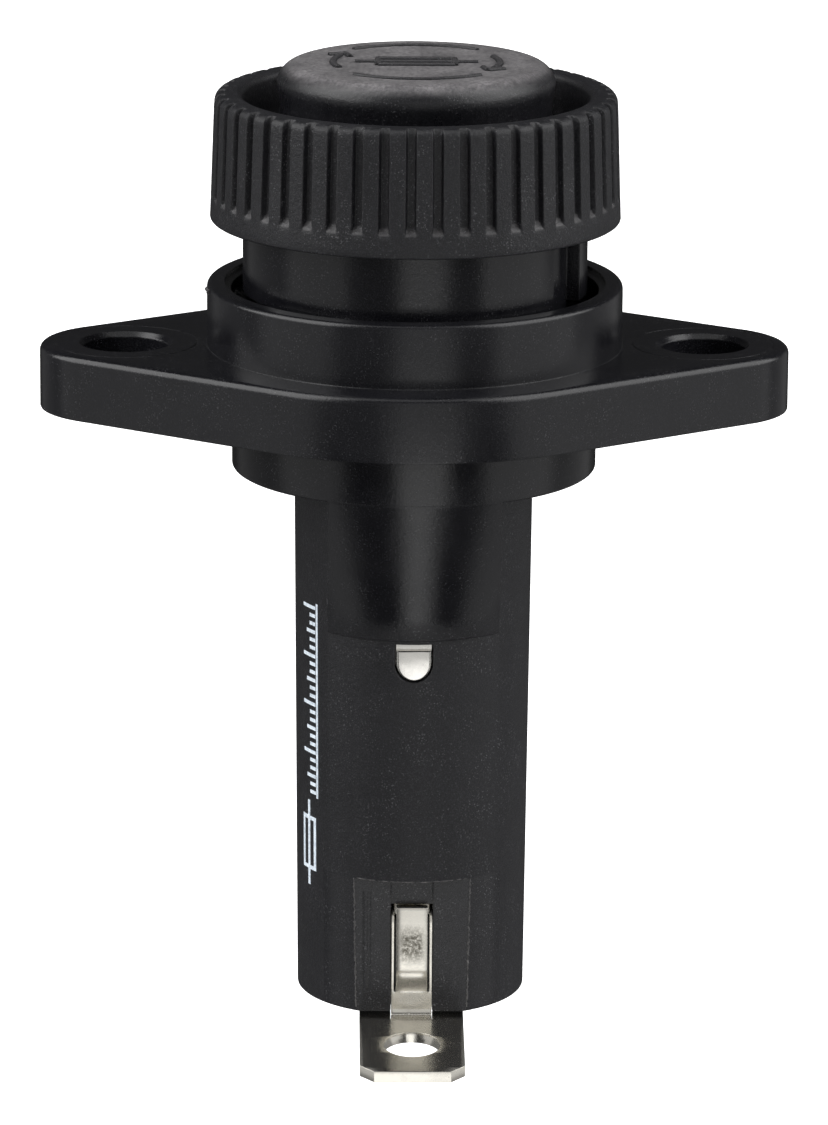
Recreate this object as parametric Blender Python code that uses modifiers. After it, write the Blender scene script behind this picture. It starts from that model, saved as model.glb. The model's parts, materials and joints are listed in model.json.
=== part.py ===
"""Flange-mount cartridge fuse holder for a 10.3 x 38.1 mm fuse, with a bayonet knob.

The origin is on the barrel's axis, level with the lowest corner of the end terminal's tab.
+Z points along the barrel towards the knob, and -Y is the side with the end terminal's tab.
Lengths are written in millimetres and turned into metres by MM. Heights are counted from the
flange's underside, which sits on the panel, and one parent empty lifts every piece by PANEL_HEIGHT.
"""
import math

import bmesh
import bpy
from mathutils import Matrix, Vector

MM = 0.001
GAP = 0.3                     # clearance between pieces that touch on the real holder
PANEL_HEIGHT = 38.45          # the flange's underside above the origin
ROUND_STEPS = 64              # facets on the large turned pieces
SMALL_STEPS = 32              # facets on the fuse and the small turned pieces

# Flange
FLANGE_THICKNESS = 3.95
FLANGE_RADIUS = 14.9          # bulge round the collar
SCREW_SPACING = 34.93         # 1-3/8 inch between the two fixing holes
SCREW_HOLE_RADIUS = 2.55
FLANGE_END_RADIUS = 5.2
FLANGE_EDGE = 0.35
FLANGE_EDGE_LEAST_ANGLE = 60  # degrees; the bevel leaves the outline's facets alone

# Housing outside
COLLAR_RADIUS = 12.56
COLLAR_TOP = 7.8
BOSS_RADIUS = 11.05           # fills a 7/8 inch panel hole
BOSS_BOTTOM = -3.6
BARREL_TOP_RADIUS = 7.25
BARREL_BOTTOM_RADIUS = 6.98
BARREL_BOTTOM = -36.6
COLLAR_EDGE = 0.25
BOSS_EDGE = 0.2
BARREL_EDGE = 0.12
BUTTRESS_HALF_WIDTH = 5.2
BUTTRESS_BOTTOM = -12.85
REAR_PAD_HALF_WIDTH = 3.6
REAR_PAD_FACE = 7.5
REAR_PAD_TOP = -9.55
REAR_PAD_BOTTOM = -17.75

# Housing inside
KNOB_BORE_RADIUS = 11.1
KNOB_BORE_FLOOR = 1.05
CONTACT_BORE_RADIUS = 8.9
CONTACT_BORE_FLOOR = -2.65
FUSE_BORE_RADIUS = 5.4
FUSE_BORE_FLOOR = -31.1
FLOOR_BOTTOM = -32.75
CORE_RADIUS = 5.2

# Bayonet: angles count from -Y towards +X
LUG_ANGLE = 61.0
LUG_WIDTH = 14.0
LUG_BOTTOM = 4.4
LUG_TOP = 5.7
LUG_TIP_RADIUS = 9.8
TURN_TO_LOCK = 80.0
GROOVE_WIDTH = 18.0
GROOVE_FLOOR_RADIUS = 9.6
CHANNEL_BOTTOM = 4.25
CHANNEL_TOP = 7.35

# Knob
BUTTON_TOP = 21.15
BUTTON_RADIUS = 8.4
BUTTON_EDGE = 1.1
RING_TOP = 19.35
RING_BOTTOM = 11.7
RING_TOP_RADIUS = 12.1
RING_BOTTOM_RADIUS = 12.37
RING_BORE_RADIUS = 10.4
RING_FLOOR = 13.75
SKIRT_RADIUS = 10.4
SKIRT_BOTTOM = 2.85
SKIRT_BORE_RADIUS = 8.4
SKIRT_BORE_TOP = 11.55
BUTTON_BORE_RADIUS = 6.5
BUTTON_BORE_TOP = 17.85
SOCKET_RADIUS = 1.6
SOCKET_TOP = 20.15
RING_EDGE = 0.3
RING_FOOT_EDGE = 0.15
FLUTE_COUNT = 48
FLUTE_PHASE = -2.0            # degrees from -Y to the first groove
FLUTE_WIDTH = 0.58
FLUTE_DEPTH = 0.38
FLUTE_BOTTOM = 13.05

# Fuse cartridge, 13/32 x 1-1/2 inch
FUSE_RADIUS = 5.16
FUSE_LENGTH = 38.1
FUSE_BOTTOM = -29.2
FUSE_TOP = FUSE_BOTTOM + FUSE_LENGTH
FERRULE_LENGTH = 10.0
FERRULE_WALL = 0.36
FERRULE_END = 0.5
DISC_THICKNESS = 0.4
TUBE_RADIUS = 4.5
TUBE_BORE_RADIUS = 3.75
ELEMENT_HALF_WIDTH = 1.0
ELEMENT_THICKNESS = 0.3
ELEMENT_NECKS = 5
NOTCH_RADIUS = 0.6

# Knob's inside pieces
CLIP_ROOF_BOTTOM = FUSE_TOP + GAP
CLIP_SHEET = 0.5
CLIP_ROOF_RADIUS = 7.6
CLIP_INNER_RADIUS = 5.35
CLIP_OUTER_RADIUS = 5.75
CLIP_FINGER_BOTTOM = -1.35
CLIP_SLOTS = 4
CLIP_SLOT_WIDTH = 1.2
STEM_RADIUS = 1.2
STEM_TOP = 18.35
STEM_COLLAR_RADIUS = 2.2
WASHER_RADIUS = 6.1
WASHER_BORE_RADIUS = 1.9
WASHER_THICKNESS = 0.4
SPRING_RADIUS = 4.6
SPRING_WIRE_RADIUS = 0.35
SPRING_TURNS = 5
RETAINING_TOP = 8.85
RETAINING_THICKNESS = 0.65
RETAINING_RADIUS = 8.1
RETAINING_BORE_RADIUS = 6.3

# Terminals
TAB_HALF_WIDTH = 3.175        # 0.250 inch quick-connect tab
SHEET = 0.7
TAB_HOLE_RADIUS = 1.72
TAB_HOLE_FROM_END = 3.8
TAB_CORNER = 0.9
TAB_BEND_RADIUS = 0.8
STRIP_HALF_WIDTH = 1.3
STRIP_SHOULDER = 0.2          # from the barrel's bottom down to the wide part of the tab
TONGUE_TOP = -30.7
TONGUE_BOTTOM = -35.2
TONGUE_BOW_Y = -6.75
TONGUE_END_Y = -5.95
TONGUE_HALF_WIDTH = 1.05
TONGUE_SHEET = 0.35
STRIP_CENTRE_Y = -5.75
FRONT_FLAT_Y = -6.1
FRONT_FLAT_TOP = -28.05
CHANNEL_HALF_WIDTH = 1.42
CHANNEL_FLOOR_Y = -5.85
SLOT_TOP = -29.8
END_PLATE_Z = -30.45
END_PLATE_HALF_WIDTH = 2.9
END_PLATE_END_Y = 3.3
END_RIVET_RADIUS = 1.2
END_RIVET_HEAD_RADIUS = 2.4
END_RIVET_CROWN_RADIUS = 2.1
END_RIVET_TAIL_RADIUS = 1.8
END_RIVET_TAIL = 0.6
END_TAB_END_Y = -14.0
END_TAB_DROOP = 6.5           # degrees below level
SIDE_TAB_Z = -18.65
SIDE_TAB_END_Y = 14.9
SIDE_RIVET_Z = -12.75
RIVET_RADIUS = 1.0
RIVET_HEAD_RADIUS = 1.9
RIVET_HEAD_HEIGHT = 0.75
CONTACT_SHEET = 0.4
CONTACT_RING_TOP = -0.25
CONTACT_RING_RADIUS = 8.4
CONTACT_BULGE = 0.75
REAR_LEG_HALF_WIDTH = 1.7
CONTACT_STRIP_Y = 6.05
WINDOW_HALF_WIDTH = 1.15
WINDOW_TOP = -13.05
WINDOW_BOTTOM = -15.45

BLACK_PLASTIC = ((0.016, 0.016, 0.018), 0.45, 0.0)
NICKEL = ((0.72, 0.70, 0.66), 0.28, 1.0)
BRASS = ((0.78, 0.62, 0.34), 0.32, 1.0)
SPRING_STEEL = ((0.55, 0.56, 0.58), 0.30, 1.0)
COPPER = ((0.80, 0.48, 0.34), 0.35, 1.0)
CERAMIC = ((0.86, 0.84, 0.79), 0.55, 0.0)
FIBRE = ((0.52, 0.40, 0.27), 0.80, 0.0)
SAND = ((0.74, 0.69, 0.58), 0.90, 0.0)


def end_tab_heights():
    """Height of the sheet's middle where the end tab starts and where it ends."""
    droop = math.radians(END_TAB_DROOP)
    end = -PANEL_HEIGHT + SHEET / 2 * math.cos(droop)
    start = end + (STRIP_CENTRE_Y - END_TAB_END_Y) * math.tan(droop)
    return start, end


def clear_scene():
    for item in list(bpy.data.objects):
        bpy.data.objects.remove(item, do_unlink=True)


def make_collection(name):
    collection = bpy.data.collections.new(name)
    bpy.context.scene.collection.children.link(collection)
    return collection


def make_frame():
    """The empty that lifts every piece and every cutter to the holder's own origin."""
    empty = bpy.data.objects.new("panel_seat", None)
    empty.location = (0, 0, PANEL_HEIGHT * MM)
    bpy.context.scene.collection.objects.link(empty)
    return empty


def make_material(name, look):
    colour, roughness, metallic = look
    material = bpy.data.materials.new(name)
    material.use_nodes = True
    shader = material.node_tree.nodes["Principled BSDF"]
    shader.inputs["Base Color"].default_value = (*colour, 1.0)
    shader.inputs["Roughness"].default_value = roughness
    shader.inputs["Metallic"].default_value = metallic
    material.diffuse_color = (*colour, 1.0)
    return material


def add_piece(name, mesh, look):
    """Put a finished mesh into the holder's collection with its own material."""
    piece = bpy.data.objects.new(name, mesh)
    HOLDER.objects.link(piece)
    piece.parent = FRAME
    mesh.materials.append(make_material(name, look))
    return piece


def add_tool(name, mesh):
    """Put a shape that only cuts or joins into the cutters' collection, out of sight."""
    tool = bpy.data.objects.new(name, mesh)
    CUTTERS.objects.link(tool)
    tool.parent = FRAME
    tool.hide_render = True
    tool.display_type = "WIRE"
    return tool


def mesh_from(bm, name):
    mesh = bpy.data.meshes.new(name)
    bm.to_mesh(mesh)
    bm.free()
    return mesh


def chain_mesh(name, points, closed):
    """Make a mesh of edges through the points, which are in millimetres."""
    bm = bmesh.new()
    verts = [bm.verts.new(Vector(point) * MM) for point in points]
    for first, second in zip(verts, verts[1:]):
        bm.edges.new((first, second))
    if closed:
        bm.edges.new((verts[-1], verts[0]))
    return mesh_from(bm, name)


def arc(centre, radius, start, end, steps):
    """Points (across, up) on an arc about centre, angles in degrees from +across."""
    points = []
    for index in range(steps + 1):
        angle = math.radians(start + (end - start) * index / steps)
        points.append((centre[0] + radius * math.cos(angle), centre[1] + radius * math.sin(angle)))
    return points


def add_screw(piece, steps):
    screw = piece.modifiers.new("turn", "SCREW")
    screw.steps = steps
    screw.render_steps = steps
    screw.use_merge_vertices = True
    screw.merge_threshold = 0.000001
    screw.use_smooth_shade = False


def turned_mesh(name, profile, steps, closed=False):
    """Turn a profile of (radius, height) points about Z and give the finished mesh."""
    chain = chain_mesh(name + "_profile", [(radius, 0, height) for radius, height in profile], closed)
    guide = bpy.data.objects.new(name + "_guide", chain)
    CUTTERS.objects.link(guide)
    add_screw(guide, steps)
    return settled_mesh(guide, name)


def settled_mesh(guide, name):
    """Evaluate a guide object with its modifiers, weld it, and remove the guide."""
    depsgraph = bpy.context.evaluated_depsgraph_get()
    mesh = bpy.data.meshes.new_from_object(guide.evaluated_get(depsgraph))
    mesh.name = name
    bm = bmesh.new()
    bm.from_mesh(mesh)
    bmesh.ops.transform(bm, matrix=guide.matrix_world, verts=bm.verts)
    bmesh.ops.remove_doubles(bm, verts=bm.verts, dist=0.0000005)
    bmesh.ops.recalc_face_normals(bm, faces=bm.faces)
    bm.to_mesh(mesh)
    bm.free()
    bpy.data.objects.remove(guide, do_unlink=True)
    return mesh


def box_mesh(name, low, high, turn=None):
    """A box between two corners in millimetres, turned by a matrix about its own centre."""
    size = [top - bottom for bottom, top in zip(low, high)]
    centre = Vector([(bottom + top) / 2 for bottom, top in zip(low, high)]) * MM
    matrix = Matrix.Translation(centre)
    if turn is not None:
        matrix = matrix @ turn
    matrix = matrix @ Matrix.Diagonal((size[0] * MM, size[1] * MM, size[2] * MM, 1.0))
    bm = bmesh.new()
    bmesh.ops.create_cube(bm, size=1.0, matrix=matrix)
    return mesh_from(bm, name)


def rod_mesh(name, radius, length, centre, turn=None, steps=SMALL_STEPS, top_radius=None):
    """A rod or cone along Z about its centre, then turned by a matrix."""
    matrix = Matrix.Translation(Vector(centre) * MM)
    if turn is not None:
        matrix = matrix @ turn
    end_radius = radius if top_radius is None else top_radius
    bm = bmesh.new()
    bmesh.ops.create_cone(bm, cap_ends=True, segments=steps, radius1=radius * MM,
                          radius2=end_radius * MM, depth=length * MM, matrix=matrix)
    return mesh_from(bm, name)


def sector_mesh(name, radii, heights, angles, steps):
    """A block swept round Z; angles are in degrees from -Y towards +X."""
    start = math.radians(angles[0])
    direction = Vector((math.sin(start), -math.cos(start), 0))
    corners = ((radii[0], heights[0]), (radii[1], heights[0]),
               (radii[1], heights[1]), (radii[0], heights[1]))
    bm = bmesh.new()
    verts = []
    for radius, height in corners:
        verts.append(bm.verts.new((direction * radius + Vector((0, 0, height))) * MM))
    bm.faces.new(verts)
    bmesh.ops.spin(bm, geom=bm.verts[:] + bm.edges[:] + bm.faces[:], cent=(0, 0, 0), axis=(0, 0, 1),
                   angle=math.radians(angles[1] - angles[0]), steps=steps, use_duplicate=False)
    bmesh.ops.remove_doubles(bm, verts=bm.verts, dist=0.0000005)
    bmesh.ops.recalc_face_normals(bm, faces=bm.faces)
    return mesh_from(bm, name)


def filleted(corners, radius, steps):
    """Round the inner corners of a (y, z) path with arcs of one radius."""
    points = [Vector(corners[0])]
    for before, corner, after in zip(corners, corners[1:], corners[2:]):
        corner = Vector(corner)
        back = (Vector(before) - corner).normalized()
        ahead = (Vector(after) - corner).normalized()
        half = back.angle(ahead) / 2
        reach = radius / math.tan(half)
        centre = corner + (back + ahead).normalized() * (radius / math.sin(half))
        start = corner + back * reach - centre
        end = corner + ahead * reach - centre
        sweep = start.angle_signed(end)
        for index in range(steps + 1):
            turn = Matrix.Rotation(-sweep * index / steps, 2)
            points.append(centre + turn @ start)
    points.append(Vector(corners[-1]))
    return [(point.x, point.y) for point in points]


def sheet_mesh(name, path, half_width, thickness):
    """Bend a sheet along a (y, z) path, spread it across X and give it thickness."""
    chain = chain_mesh(name, [(-half_width, y, z) for y, z in path], False)
    bm = bmesh.new()
    bm.from_mesh(chain)
    swept = bmesh.ops.extrude_edge_only(bm, edges=bm.edges[:])
    moved = [item for item in swept["geom"] if isinstance(item, bmesh.types.BMVert)]
    bmesh.ops.translate(bm, verts=moved, vec=(2 * half_width * MM, 0, 0))
    bm.to_mesh(chain)
    bm.free()
    guide = bpy.data.objects.new(name + "_guide", chain)
    CUTTERS.objects.link(guide)
    solidify = guide.modifiers.new("thickness", "SOLIDIFY")
    solidify.thickness = thickness * MM
    solidify.offset = 0.0
    solidify.use_even_offset = True
    return settled_mesh(guide, name)


def boolean(piece, mesh, operation):
    tool = add_tool(f"{piece.name}_{mesh.name}", mesh)
    modifier = piece.modifiers.new(mesh.name, "BOOLEAN")
    modifier.operation = operation
    modifier.solver = "EXACT"
    modifier.object = tool
    return tool


def cut(piece, mesh):
    return boolean(piece, mesh, "DIFFERENCE")


def join(piece, mesh):
    return boolean(piece, mesh, "UNION")


def smooth(piece):
    piece.data.shade_smooth()
    piece.data.set_sharp_from_angle(angle=math.radians(30))
    return piece


def turned_piece(name, profile, look, steps=SMALL_STEPS, closed=False):
    return smooth(add_piece(name, turned_mesh(name, profile, steps, closed), look))


def along_y():
    return Matrix.Rotation(math.radians(90), 4, "X")


# ---------------------------------------------------------------- housing

def flange_outline():
    """Two end circles and a centre circle joined by their common tangents."""
    hole_x = SCREW_SPACING / 2
    tangent = math.degrees(math.acos((FLANGE_RADIUS - FLANGE_END_RADIUS) / hole_x))
    points = arc((hole_x, 0), FLANGE_END_RADIUS, -tangent, tangent, 14)
    points += arc((0, 0), FLANGE_RADIUS, tangent, 180 - tangent, 16)
    points += arc((-hole_x, 0), FLANGE_END_RADIUS, 180 - tangent, 180 + tangent, 14)
    points += arc((0, 0), FLANGE_RADIUS, 180 + tangent, 360 - tangent, 16)
    return points


def flange_mesh():
    """A flat curve through the outline, extruded to the flange's thickness and bevelled."""
    outline = flange_outline()
    curve = bpy.data.curves.new("flange_outline", "CURVE")
    curve.dimensions = "2D"
    curve.fill_mode = "BOTH"
    curve.extrude = FLANGE_THICKNESS / 2 * MM
    spline = curve.splines.new("POLY")
    spline.points.add(len(outline) - 1)
    spline.use_cyclic_u = True
    for point, (x, y) in zip(spline.points, outline):
        point.co = (x * MM, y * MM, 0, 1)
    guide = bpy.data.objects.new("flange_guide", curve)
    CUTTERS.objects.link(guide)
    guide.location = (0, 0, FLANGE_THICKNESS / 2 * MM)
    bpy.context.view_layer.update()
    mesh = settled_mesh(guide, "flange")
    bpy.data.curves.remove(curve)
    bevelled = bpy.data.objects.new("flange_bevelled", mesh)
    CUTTERS.objects.link(bevelled)
    bevel = bevelled.modifiers.new("edge", "BEVEL")
    bevel.width = FLANGE_EDGE * MM
    bevel.segments = 2
    bevel.limit_method = "ANGLE"
    bevel.angle_limit = math.radians(FLANGE_EDGE_LEAST_ANGLE)
    return settled_mesh(bevelled, "flange")


def housing_profile():
    """Collar, boss and barrel from the top, closed to the axis."""
    profile = [(0, COLLAR_TOP)]
    profile += [(COLLAR_RADIUS - COLLAR_EDGE, COLLAR_TOP), (COLLAR_RADIUS, COLLAR_TOP - COLLAR_EDGE)]
    profile += [(COLLAR_RADIUS, FLANGE_THICKNESS / 2), (BOSS_RADIUS, FLANGE_THICKNESS / 2)]
    profile += arc((BOSS_RADIUS - BOSS_EDGE, BOSS_BOTTOM + BOSS_EDGE), BOSS_EDGE, 0, -90, 3)
    profile += [(BARREL_TOP_RADIUS, BOSS_BOTTOM)]
    profile += [(BARREL_BOTTOM_RADIUS, BARREL_BOTTOM + BARREL_EDGE)]
    profile += [(BARREL_BOTTOM_RADIUS - BARREL_EDGE, BARREL_BOTTOM), (0, BARREL_BOTTOM)]
    return profile


def bore_profile():
    """Room for the knob's skirt, the upper contact and the fuse, closed to the axis."""
    above = COLLAR_TOP + 1
    return [(0, above), (KNOB_BORE_RADIUS, above), (KNOB_BORE_RADIUS, KNOB_BORE_FLOOR),
            (CONTACT_BORE_RADIUS, KNOB_BORE_FLOOR), (CONTACT_BORE_RADIUS, CONTACT_BORE_FLOOR),
            (FUSE_BORE_RADIUS, CONTACT_BORE_FLOOR), (FUSE_BORE_RADIUS, FUSE_BORE_FLOOR),
            (0, FUSE_BORE_FLOOR)]


def buttress_mesh():
    """A slice of cone that ramps from the boss's edge down to the barrel."""
    overlap = 0.6
    height = BOSS_BOTTOM + overlap - BUTTRESS_BOTTOM
    middle = BUTTRESS_BOTTOM + height / 2
    cone = rod_mesh("buttress", BARREL_TOP_RADIUS + 0.05, height, (0, 0, middle),
                    steps=ROUND_STEPS, top_radius=BOSS_RADIUS - 0.02)
    guide = bpy.data.objects.new("buttress_guide", cone)
    CUTTERS.objects.link(guide)
    slab = box_mesh("slab", (-BUTTRESS_HALF_WIDTH, -20, -20), (BUTTRESS_HALF_WIDTH, -3, 0))
    keep = bpy.data.objects.new("buttress_slab", slab)
    CUTTERS.objects.link(keep)
    modifier = guide.modifiers.new("slice", "BOOLEAN")
    modifier.operation = "INTERSECT"
    modifier.solver = "EXACT"
    modifier.object = keep
    mesh = settled_mesh(guide, "buttress")
    bpy.data.objects.remove(keep, do_unlink=True)
    return mesh


def cut_front_openings(housing):
    """The flat, channel and slot for the end terminal's strip, and the upper contact's window."""
    below = BARREL_BOTTOM - 1
    cut(housing, box_mesh("front_flat", (-6, -9, below), (6, FRONT_FLAT_Y, FRONT_FLAT_TOP)))
    cut(housing, box_mesh("front_channel", (-CHANNEL_HALF_WIDTH, -8, below - 1),
                          (CHANNEL_HALF_WIDTH, CHANNEL_FLOOR_Y, FRONT_FLAT_TOP - 0.15)))
    cut(housing, box_mesh("front_slot", (-CHANNEL_HALF_WIDTH + 0.02, -7.5, below - 2),
                          (CHANNEL_HALF_WIDTH - 0.02, -4.9, SLOT_TOP)))
    round_z = WINDOW_BOTTOM + WINDOW_HALF_WIDTH
    cut(housing, box_mesh("window", (-WINDOW_HALF_WIDTH, -9, round_z), (WINDOW_HALF_WIDTH, -5, WINDOW_TOP)))
    cut(housing, rod_mesh("window_end", WINDOW_HALF_WIDTH, 4, (0, -7, round_z), along_y()))
    cut(housing, box_mesh("front_groove", (-1.4, -CONTACT_STRIP_Y - 0.5, WINDOW_BOTTOM - 0.9),
                          (1.4, -4, CONTACT_BORE_FLOOR + 0.5)))


def cut_rear_openings(housing):
    """The groove for the upper contact's rear leg and the rivet's hole through the pad."""
    cut(housing, box_mesh("rear_groove", (-2.0, 4, SIDE_RIVET_Z - 2.4),
                          (2.0, CONTACT_STRIP_Y + 0.5, CONTACT_BORE_FLOOR + 0.5)))
    cut(housing, rod_mesh("rivet_hole", RIVET_RADIUS + GAP, 6, (0, 7, SIDE_RIVET_Z), along_y()))


def build_housing():
    housing = add_piece("housing", turned_mesh("housing", housing_profile(), ROUND_STEPS), BLACK_PLASTIC)
    join(housing, flange_mesh())
    join(housing, buttress_mesh())
    join(housing, box_mesh("rear_pad", (-REAR_PAD_HALF_WIDTH, 4.5, REAR_PAD_BOTTOM),
                           (REAR_PAD_HALF_WIDTH, REAR_PAD_FACE, REAR_PAD_TOP)))
    cut(housing, turned_mesh("bore", bore_profile(), ROUND_STEPS))
    core_height = FLOOR_BOTTOM - BARREL_BOTTOM + 1
    cut(housing, rod_mesh("core", CORE_RADIUS, core_height, (0, 0, FLOOR_BOTTOM - core_height / 2)))
    for side, turn in (("right", 0), ("left", 180)):
        angles = (LUG_ANGLE + turn - LUG_WIDTH / 2, LUG_ANGLE + turn + LUG_WIDTH / 2)
        join(housing, sector_mesh(f"lug_{side}", (LUG_TIP_RADIUS, KNOB_BORE_RADIUS + 0.4),
                                  (LUG_BOTTOM, LUG_TOP), angles, 3))
    for side in (-1, 1):
        name = "screw_hole_right" if side > 0 else "screw_hole_left"
        cut(housing, rod_mesh(name, SCREW_HOLE_RADIUS, 8, (side * SCREW_SPACING / 2, 0, 2)))
    cut_front_openings(housing)
    cut_rear_openings(housing)
    cut(housing, rod_mesh("floor_hole", END_RIVET_RADIUS + GAP, 6, (0, 0, FLOOR_BOTTOM)))
    return housing


# ---------------------------------------------------------------- terminals and contacts

def cut_tab_end(piece, name, hole, end, droop, side):
    """The hole and the two clipped corners of a quick-connect tab that points along side * Y."""
    tilt = Matrix.Rotation(math.radians(droop) * -side, 4, "X")
    cut(piece, rod_mesh(name + "_hole", TAB_HOLE_RADIUS, 4, (0, hole[0], hole[1]), tilt))
    half = 1.5
    for across in (-1, 1):
        corner = Vector((across * TAB_HALF_WIDTH, end[0], end[1]))
        outward = Vector((across, side, 0)).normalized()
        middle = corner + outward * (half - TAB_CORNER / math.sqrt(2))
        matrix = tilt @ Matrix.Rotation(math.radians(45), 4, "Z")
        low = middle - Vector((half, half, 2))
        high = middle + Vector((half, half, 2))
        label = "right" if across > 0 else "left"
        cut(piece, box_mesh(f"{name}_corner_{label}", low, high, matrix))


def end_terminal_path():
    """From the plate under the fuse, over and down the barrel's front, and out to the tab."""
    start_height, end_height = end_tab_heights()
    end = (END_TAB_END_Y, end_height)
    corners = [(END_PLATE_END_Y, END_PLATE_Z), (STRIP_CENTRE_Y, END_PLATE_Z)]
    corners += [(STRIP_CENTRE_Y, start_height), end]
    return filleted(corners, TAB_BEND_RADIUS, 5), end


def build_end_terminal():
    path, end = end_terminal_path()
    terminal = add_piece("end_terminal", sheet_mesh("end_terminal", path, TAB_HALF_WIDTH, SHEET), NICKEL)
    droop = math.radians(END_TAB_DROOP)
    shoulder = BARREL_BOTTOM - STRIP_SHOULDER
    plate_side = (END_PLATE_Z - 1.1, END_PLATE_Z + 0.9)
    for across in (-1, 1):
        label = "right" if across > 0 else "left"
        sides = sorted((across * STRIP_HALF_WIDTH, across * 5))
        cut(terminal, box_mesh(f"strip_side_{label}", (sides[0], -7.5, shoulder),
                              (sides[1], -4.2, END_PLATE_Z + 1.2)))
        sides = sorted((across * END_PLATE_HALF_WIDTH, across * 5))
        cut(terminal, box_mesh(f"plate_side_{label}", (sides[0], -4.4, plate_side[0]),
                              (sides[1], 4, plate_side[1])))
    cut(terminal, rod_mesh("rivet_hole", END_RIVET_RADIUS + GAP, 3, (0, 0, END_PLATE_Z)))
    tongue_middle = (TONGUE_TOP + TONGUE_BOTTOM) / 2
    tongue = [(TONGUE_END_Y, TONGUE_TOP), (TONGUE_BOW_Y, tongue_middle), (TONGUE_END_Y, TONGUE_BOTTOM)]
    join(terminal, sheet_mesh("tongue", filleted(tongue, 3.0, 6), TONGUE_HALF_WIDTH, TONGUE_SHEET))
    hole = (end[0] + TAB_HOLE_FROM_END * math.cos(droop), end[1] + TAB_HOLE_FROM_END * math.sin(droop))
    cut_tab_end(terminal, "end_tab", hole, end, END_TAB_DROOP, -1)
    return terminal


def build_end_rivet():
    """Contact rivet: its head meets the fuse and its tail holds the plate to the housing's floor."""
    top = FUSE_BOTTOM - GAP
    head_bottom = END_PLATE_Z + SHEET / 2 + GAP
    tail_top = FLOOR_BOTTOM - GAP
    tail_bottom = tail_top - END_RIVET_TAIL
    profile = [(0, top), (END_RIVET_CROWN_RADIUS, top), (END_RIVET_HEAD_RADIUS, (top + head_bottom) / 2)]
    profile += [(END_RIVET_HEAD_RADIUS, head_bottom), (END_RIVET_RADIUS, head_bottom)]
    profile += [(END_RIVET_RADIUS, tail_top), (END_RIVET_CROWN_RADIUS, tail_top)]
    profile += [(END_RIVET_TAIL_RADIUS, tail_bottom), (0, tail_bottom)]
    return turned_piece("end_contact_rivet", profile, BRASS)


def build_upper_contact():
    """Ring round the fuse clip, a front leg with a locking tongue and a rear leg for the rivet."""
    ring_in = CLIP_OUTER_RADIUS + 0.2
    ring_out = ring_in + CONTACT_SHEET
    flat_top = CONTACT_BORE_FLOOR + GAP + CONTACT_SHEET
    flat_bottom = CONTACT_BORE_FLOOR + GAP
    profile = [(ring_in, CONTACT_RING_TOP), (ring_out, CONTACT_RING_TOP), (ring_out, flat_top)]
    profile += [(CONTACT_RING_RADIUS, flat_top), (CONTACT_RING_RADIUS, flat_bottom), (ring_in, flat_bottom)]
    contact = add_piece("upper_contact", turned_mesh("upper_contact", profile, SMALL_STEPS, True), NICKEL)
    front = -CONTACT_STRIP_Y
    path = [(front, flat_top - 0.1)]
    bulge_steps = 8
    for index in range(bulge_steps + 1):
        share = index / bulge_steps
        height = WINDOW_TOP - 0.1 + (WINDOW_BOTTOM - WINDOW_TOP + 0.2) * share
        path.append((front - CONTACT_BULGE * math.sin(math.pi * share) ** 2, height))
    path.append((front, WINDOW_BOTTOM - 0.6))
    join(contact, sheet_mesh("front_leg", path, WINDOW_HALF_WIDTH - 0.2, CONTACT_SHEET))
    rear = [(CONTACT_STRIP_Y, flat_top - 0.1), (CONTACT_STRIP_Y, SIDE_RIVET_Z - 2.1)]
    join(contact, sheet_mesh("rear_leg", rear, REAR_LEG_HALF_WIDTH, CONTACT_SHEET))
    cut(contact, rod_mesh("rivet_hole", RIVET_RADIUS + GAP, 2, (0, CONTACT_STRIP_Y, SIDE_RIVET_Z),
                          along_y(), 24))
    return contact


def build_side_terminal():
    """An angle riveted to the pad behind the barrel, with its tab pointing along +Y."""
    foot = REAR_PAD_FACE + GAP + SHEET / 2
    end = (SIDE_TAB_END_Y, SIDE_TAB_Z)
    path = filleted([(foot, REAR_PAD_TOP - 0.6), (foot, SIDE_TAB_Z), end], TAB_BEND_RADIUS, 5)
    terminal = add_piece("side_terminal", sheet_mesh("side_terminal", path, TAB_HALF_WIDTH, SHEET), NICKEL)
    cut(terminal, rod_mesh("rivet_hole", RIVET_RADIUS + GAP, 3, (0, foot, SIDE_RIVET_Z), along_y(), 24))
    cut_tab_end(terminal, "side_tab", (end[0] - TAB_HOLE_FROM_END, end[1]), end, 0, 1)
    return terminal


def build_side_rivet():
    """Rivet along +Y from the rear leg through the pad and the terminal's foot."""
    inner = CONTACT_STRIP_Y - CONTACT_SHEET / 2
    under_head = REAR_PAD_FACE + SHEET + 2 * GAP
    head_top = under_head + RIVET_HEAD_HEIGHT
    profile = [(0, head_top), (1.1, head_top - 0.05), (1.7, head_top - 0.3), (RIVET_HEAD_RADIUS, under_head)]
    profile += [(RIVET_RADIUS, under_head), (RIVET_RADIUS, inner), (0, inner)]
    rivet = turned_piece("side_terminal_rivet", profile, BRASS, 24)
    rivet.rotation_euler = (math.radians(-90), 0, 0)
    rivet.location = (0, 0, SIDE_RIVET_Z * MM)
    return rivet


# ---------------------------------------------------------------- knob and what it holds

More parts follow.
